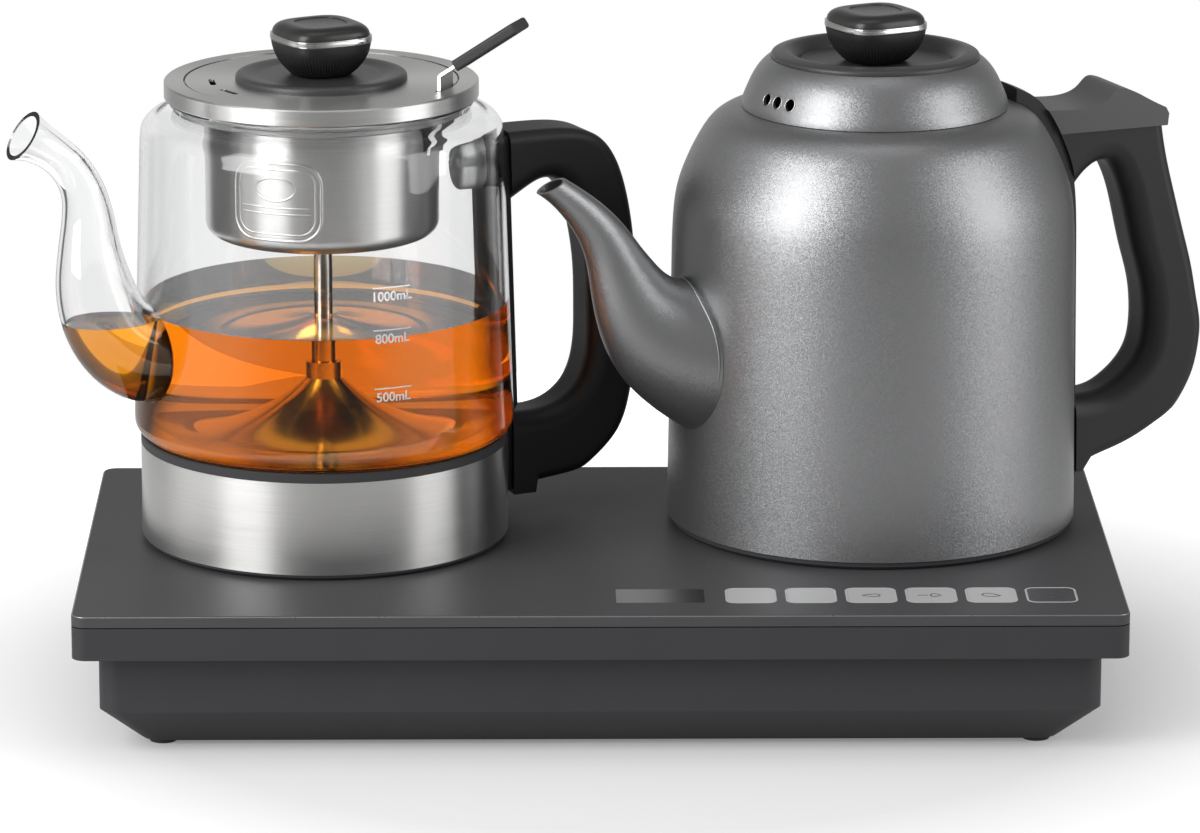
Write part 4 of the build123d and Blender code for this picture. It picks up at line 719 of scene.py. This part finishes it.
def printedText(words, height):
    letters = bpy.data.curves.new("letters", "FONT")
    letters.body = words
    letters.size = marks["textHeight"]
    letters.align_x = "CENTER"
    letters.resolution_u = 4
    letters.offset = marks["textWeight"]
    holder = bpy.data.objects.new("letters", letters)
    bpy.context.scene.collection.objects.link(holder)
    bpy.context.view_layer.update()
    mesh = bpy.data.meshes.new_from_object(holder.evaluated_get(bpy.context.evaluated_depsgraph_get()))
    bpy.data.objects.remove(holder)
    grid = bmesh.new()
    grid.from_mesh(mesh)
    bmesh.ops.triangulate(grid, faces=grid.faces)
    bmesh.ops.subdivide_edges(grid, edges=[edge for edge in grid.edges if edge.calc_length() > 0.8], cuts=1)
    made = bmesh.ops.extrude_face_region(grid, geom=list(grid.faces))
    for item in made["geom"]:
        if isinstance(item, bmesh.types.BMVert):
            item.co.z += 1
    foot = height - marks["textHeight"]
    for vert in grid.verts:
        vert.co = onGlass(vert.co.x, foot + vert.co.y, marks["lift"] * (0.2 + vert.co.z))
    grid.to_mesh(mesh)
    grid.free()
    return addObject("mark" + words, mesh, printFinish, "pot", 30)


for height, words in marks["rows"]:
    printedText(words, height)
    count = 12
    rings = []
    for step in range(count + 1):
        x = marks["lineLength"] * (step / count - 0.5)
        ring = []
        for up, out in ((-0.5, 0.2), (0.5, 0.2), (0.5, 1.2), (-0.5, 1.2)):
            ring.append(onGlass(x, height + up * marks["lineWidth"], marks["lift"] * out))
        rings.append(ring)
    addMesh("markLine" + words, *stack(rings), printFinish, "pot", 30)
print("marks done")

# a plain pressed panel on the front of the basket
panel = {
    "middle": -112,  # degrees round the pot
    "height": 132,
    "radius": 42.0,
    "width": 34,
    "tall": 28,
    "corner": 8,
    "bead": 0.55,
    "innerInset": 2.2,
    "lines": (-2.2, -4.4),
    "lineInset": 4,
    "lineBead": 0.35,
    "oval": (7.5, 4.2),
    "ovalRise": 4.4,
    "ovalBead": 0.42,
}


def onBasket(x, y, lift=0.0):
    turn = radians(panel["middle"]) + x / panel["radius"]
    reach = panel["radius"] + lift
    return potFoot + Vector((reach * cos(turn), reach * sin(turn), panel["height"] + y)) * mm


def pressedLine(name, flat, bead, closed=True):
    path = [onBasket(x, y) for x, y in flat]
    outward = [(spot - potFoot) * Vector((1, 1, 0)) for spot in path]
    tube(name, path, bead, "brushed_steel", "basket", closed, 12, 0.55, outward)


for inset, bead in ((0, panel["bead"]), (panel["innerInset"], panel["bead"] * 0.6)):
    flat = roundedRectangle(panel["width"] - 2 * inset, panel["tall"] - 2 * inset, panel["corner"] - inset)
    pressedLine("panelBead" + str(int(inset)), divided(flat, 1.5), bead)
half = panel["width"] / 2 - panel["lineInset"]
for row in panel["lines"]:
    flat = [(half * (step / 12 - 1), row) for step in range(25)]
    pressedLine("panelLine" + str(int(-row)), flat, panel["lineBead"], False)
turns = [2 * pi * step / 60 for step in range(60)]
oval = [(panel["oval"][0] * cos(a), panel["ovalRise"] + panel["oval"][1] * sin(a)) for a in turns]
pressedLine("panelOval", oval, panel["ovalBead"])
print("panel done")

# the kettle's spout joint and the rims of its lid vents
seam = {
    "bead": 0.4,
    "wall": 74.95,
    "spout": (
        (54, 67, 8, 27.5, 25),
        (72, 70.8, 17, 27.4, 23.2),
        (83, 76.6, 33, 22.5, 18.6),
        (91.7, 84, 42, 18.1, 15),
    ),
    "vents": (210.5, 218, 226),
    "ventHeight": 161,
    "ventRadius": 2.2,
    "ventBead": 0.22,
}


def spoutSeam():
    sides = 96
    stations = [tuple(spot) for spot in flowing(seam["spout"], 12)]
    rings, _ = sweep(stations, kettleFoot, kettleTurn + pi, 0.1, sides)
    path = []
    for side in range(sides):
        run = rings[side::sides]
        for inner, outer in zip(run, run[1:]):
            near, far = ((spot - kettleFoot).to_2d().length / mm for spot in (inner, outer))
            if near < seam["wall"] <= far:
                path.append(inner.lerp(outer, (seam["wall"] - near) / (far - near)))
                break
    outward = [(spot - kettleFoot) * Vector((1, 1, 0)) for spot in path]
    tube("kettleSpoutSeam", path, seam["bead"], "kettle_paint", "kettle", upward=outward)


def ventRims():
    cone = BVHTree.FromObject(nodes["kettle_lid_cone"], bpy.context.evaluated_depsgraph_get())
    for number, angle in enumerate(seam["vents"]):
        away = Vector((cos(radians(angle)), sin(radians(angle)), 0))
        across = Vector((-away.y, away.x, 0))
        path = []
        for step in range(40):
            a = 2 * pi * step / 40
            aim = kettleFoot + Vector((0, 0, seam["ventHeight"])) * mm
            aim += (across * cos(a) + Vector((0, 0, sin(a)))) * seam["ventRadius"] * mm
            path.append(cone.ray_cast(aim + away * 90 * mm, -away)[0])
        outward = [away] * len(path)
        name = "ventRim" + str(number)
        tube(name, path, seam["ventBead"], "trim_metal", "kettle_lid", upward=outward, sides=8)


spoutSeam()
ventRims()
print("kettle details done")

# the touch panel: bright pad rims, faint signs and the power sign
pads = {
    "count": 6,
    "pitch": 21.2,
    "width": 17.8,
    "depth": 18.8,
    "corner": 3.4,
    "rim": 0.38,
    "signLine": 0.2,
    "proud": 0.03,
    "powerSign": {"radius": 2.6, "drop": 0.6, "gap": 35},
}
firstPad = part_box("touch_pads")[0] + Vector((pads["width"], pads["depth"], 0)) * mm / 2


def onPlate(pad, flat):  # flat points round a pad's middle, in millimetres, laid on the plate
    middleX = firstPad.x + pad * pads["pitch"] * mm
    return [Vector((middleX + x * mm, firstPad.y + y * mm, plateTop + pads["proud"] * mm)) for x, y in flat]


def sign(name, pad, flat, closed=True, finishName="pad_dark"):
    tube(name, onPlate(pad, flat), pads["signLine"], finishName, "base", closed, 8, 0.5)


def leaf(width, depth, lean=0.0):  # a pointed drop on its side
    outline = []
    for step in range(40):
        a = 2 * pi * step / 40
        swell = (0.5 - 0.5 * cos(a)) ** 0.5
        outline.append((width / 2 * cos(a), lean * cos(a) - depth / 2 * sin(a) * swell))
    return outline


for pad in range(pads["count"]):
    flat = roundedRectangle(pads["width"] - 0.5, pads["depth"] - 0.5, pads["corner"] - 0.25)
    tube("padRim" + str(pad), onPlate(pad, flat), pads["rim"], "pad_silver", "base", True, 8, 0.35)
sign("signDrop", 2, [(-x, y) for x, y in leaf(6.2, 4.2)])
sign("signCup", 3, [(1.6 + x * 0.7, y * 1.1) for x, y in leaf(5, 4.4)])
sign("signCupHandle", 3, [(-1.2 - step * 0.5, 0) for step in range(8)], False)
sign("signLeaf", 4, leaf(6.4, 5.2, -0.8))
power = pads["powerSign"]
turns = [radians(power["gap"] + step * 10) for step in range(30)]
ring = [(power["radius"] * sin(a), power["radius"] * cos(a) - power["drop"]) for a in turns]
sign("powerRing", 5, ring, False, "grey_plastic")
sign("powerBar", 5, [(0, 0.4 + step * 0.5) for step in range(6)], False, "grey_plastic")
print("panel details done")

# painted highlights: thin bright lines round the plate's bevel and the kettle's foot
edges = {"plateInset": 0.42, "plateCorner": 5, "plateLine": 0.22, "footRise": 0.12, "footLine": 0.32}


def plateEdge():
    low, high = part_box("glass_top_plate")
    inset = edges["plateInset"]
    size = (high - low) / mm
    flat = roundedRectangle(size.x - 2 * inset, size.y - 2 * inset, edges["plateCorner"] - inset)
    centre = (low + high) / 2
    path = [Vector((centre.x + x * mm, centre.y + y * mm, plateTop - inset * mm)) for x, y in flat]
    # a lighter line along the plate's top edge stands in for the bevel's highlight
    tube("plateEdge", path, edges["plateLine"], finishes["trim_line"], "base", True, 8)


def footEdge(name, node, body, foot):
    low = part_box(node)[0]
    lowest = [vert.co for vert in nodes[node].data.vertices if vert.co.z < low.z + 2 * mm]
    reach = max((spot - foot).to_2d().length for spot in lowest) - (edges["footLine"] + 0.05) * mm
    height = low.z + edges["footRise"] * mm
    turns = [2 * pi * step / 180 for step in range(180)]
    path = [Vector((foot.x + reach * cos(turn), foot.y + reach * sin(turn), height)) for turn in turns]
    # a lighter line round the kettle's foot stands in for the highlight on its rolled rim
    tube(name, path, edges["footLine"], finishes["trim_line"], body, True, 8)


plateEdge()
footEdge("kettleFootHighlight", "kettle_shell", "kettle", kettleFoot)
print("edges done")

# the CAD pieces that stay take their finish from their slot
special = {
    "riser_tube": "polished_steel",
    "spray_funnel": "polished_steel",
    "pot_lid_boss": "disc_plastic",
    "kettle_lid_disc": "disc_plastic",
}
for name, node in nodes.items():
    node.data.materials.clear()
    node.data.materials.append(finishes[special.get(name, slots[name])])
    smooth(node, 30)

# floor, light and camera
floorFinish = bpy.data.materials.new("floorWhite")
floorFinish.use_nodes = True
paint = Paint(floorFinish.node_tree)
path = paint.node("ShaderNodeLightPath", out="Is Camera Ray")
glossy = paint.node("ShaderNodeLightPath", out="Is Glossy Ray")
through = paint.node("ShaderNodeLightPath", out="Is Transmission Ray")
dull = paint.node("ShaderNodeBsdfDiffuse", None, {"Color": (0.6, 0.6, 0.6)})
reach = paint.node("ShaderNodeVectorMath", {"operation": "LENGTH"}, {0: paint.where()}, "Value")
# painted shadow: the floor's glow is weaker near the object, from 0.2 in the middle up to full white 430 mm
# out
glowWithPaintedShadow = paint.span(reach, 180.0, 430.0, 0.2, 1.0)
glow = paint.node("ShaderNodeEmission", None, {"Color": (1.0, 1.0, 1.0), "Strength": glowWithPaintedShadow})
bright = paint.node("ShaderNodeAddShader", None, {0: dull, 1: glow})
seen = paint.node("ShaderNodeMixShader", None, {0: path + through + glossy * 0.2, 1: dull, 2: bright})
paint.node("ShaderNodeOutputMaterial", None, {"Surface": seen})
floorMesh = bpy.data.meshes.new("floor")
rim = [(0.46 * cos(2 * pi * step / 96), 0.46 * sin(2 * pi * step / 96), 0) for step in range(96)]
floorMesh.from_pydata(rim, [], [list(range(96))])
floor = bpy.data.objects.new("floor", floorMesh)
floor.data.materials.append(floorFinish)
bpy.context.scene.collection.objects.link(floor)

world = bpy.data.worlds.new("studio")
bpy.context.scene.world = world
world.use_nodes = True
paint = Paint(world.node_tree)
path = paint.node("ShaderNodeLightPath", out="Is Camera Ray")
diffuse = paint.node("ShaderNodeLightPath", out="Is Diffuse Ray")
through = paint.node("ShaderNodeLightPath", out="Is Transmission Ray")
direction = paint.node("ShaderNodeTexCoord", out="Generated")
share = paint.node("ShaderNodeSeparateXYZ", None, {0: direction}, "Y") * 0.5 + 0.5
rise = paint.node("ShaderNodeSeparateXYZ", None, {0: direction}, "Z")
toRight = paint.node("ShaderNodeSeparateXYZ", None, {0: direction}, "X")
dimming = paint.span(rise, 0.2, 0.9, 1.0, 0.35) * (1.0 - toRight * 0.2)
studio = {  # place from the camera's side, 0, to behind the object, 1, and brightness
    "metal": ((0, 0.22), (0.15, 0.5), (0.32, 0.85), (0.55, 0.85), (0.72, 0.33), (0.87, 0.33), (1, 0.62)),
    "glass": ((0, 0.1), (0.06, 0.14), (0.2, 0.9), (0.4, 0.6), (0.6, 0.05), (0.85, 0.08), (0.91, 0.9), (1, 1)),
}
forMetal = paint.ramp(share, *studio["metal"])
forGlass = paint.ramp(share, *studio["glass"])
shown = paint.node("ShaderNodeBackground", None, {"Color": (1.0, 1.0, 1.0), "Strength": 1.0})
mirrored = paint.node("ShaderNodeBackground", None, {"Color": forMetal, "Strength": dimming})
refracted = paint.node("ShaderNodeBackground", None, {"Color": forGlass, "Strength": 1.0})
spread = paint.node("ShaderNodeBackground", None, {"Color": (1.0, 1.0, 1.0), "Strength": 0.5})
shiny = paint.node("ShaderNodeMixShader", None, {0: through, 1: mirrored, 2: refracted})
lighting = paint.node("ShaderNodeMixShader", None, {0: diffuse, 1: shiny, 2: spread})
every = paint.node("ShaderNodeMixShader", None, {0: path, 1: lighting, 2: shown})
paint.node("ShaderNodeOutputWorld", None, {"Surface": every})

lamps = {
    # name: place round the object in degrees from the camera's side, height angle, distance, size, power
    "keySoftbox": (-50, 26, 1.5, (0.85, 1.5), 22),
    "sideSoftbox": (70, 18, 1.4, (0.8, 1.3), 8),
    "topSoftbox": (0, 88, 1.4, (1.0, 0.6), 1.6),
}
target = Vector((baseCentre.x, baseCentre.y, plateTop + 0.06))
for name, (turn, rise, distance, size, power) in lamps.items():
    light = bpy.data.lights.new(name, "AREA")
    light.shape = "RECTANGLE"
    light.size, light.size_y = size
    light.energy = power
    lamp = bpy.data.objects.new(name, light)
    turn, rise = radians(turn), radians(rise)
    away = Vector((sin(turn) * cos(rise), -cos(turn) * cos(rise), sin(rise)))
    lamp.location = target + away * distance
    lamp.rotation_euler = away.to_track_quat("Z", "Y").to_euler()
    bpy.context.scene.collection.objects.link(lamp)

camera = {"place": (-0.031, -2.328, 0.6516), "turn": 0.783, "pitch": 14.588, "roll": 0.0765, "lens": 199.68}
cameraData = bpy.data.cameras.new("camera")
cameraData.lens = camera["lens"]
cameraData.sensor_width = 36
cameraData.clip_end = 30
eye = bpy.data.objects.new("camera", cameraData)
turn, pitch, roll = radians(camera["turn"]), radians(camera["pitch"]), radians(camera["roll"])
ahead = Vector((sin(turn) * cos(pitch), cos(turn) * cos(pitch), -sin(pitch)))
right = Vector((cos(turn), -sin(turn), 0))
up = right.cross(ahead)
level, upright = right * cos(roll) + up * sin(roll), up * cos(roll) - right * sin(roll)
eye.matrix_world = Matrix((level, upright, -ahead)).transposed().to_4x4()
eye.location = Vector((baseCentre.x, baseCentre.y, plateTop)) + Vector(camera["place"])
bpy.context.scene.collection.objects.link(eye)
bpy.context.scene.camera = eye

bpy.context.scene.view_settings.view_transform = "Standard"
bpy.context.view_layer.update()
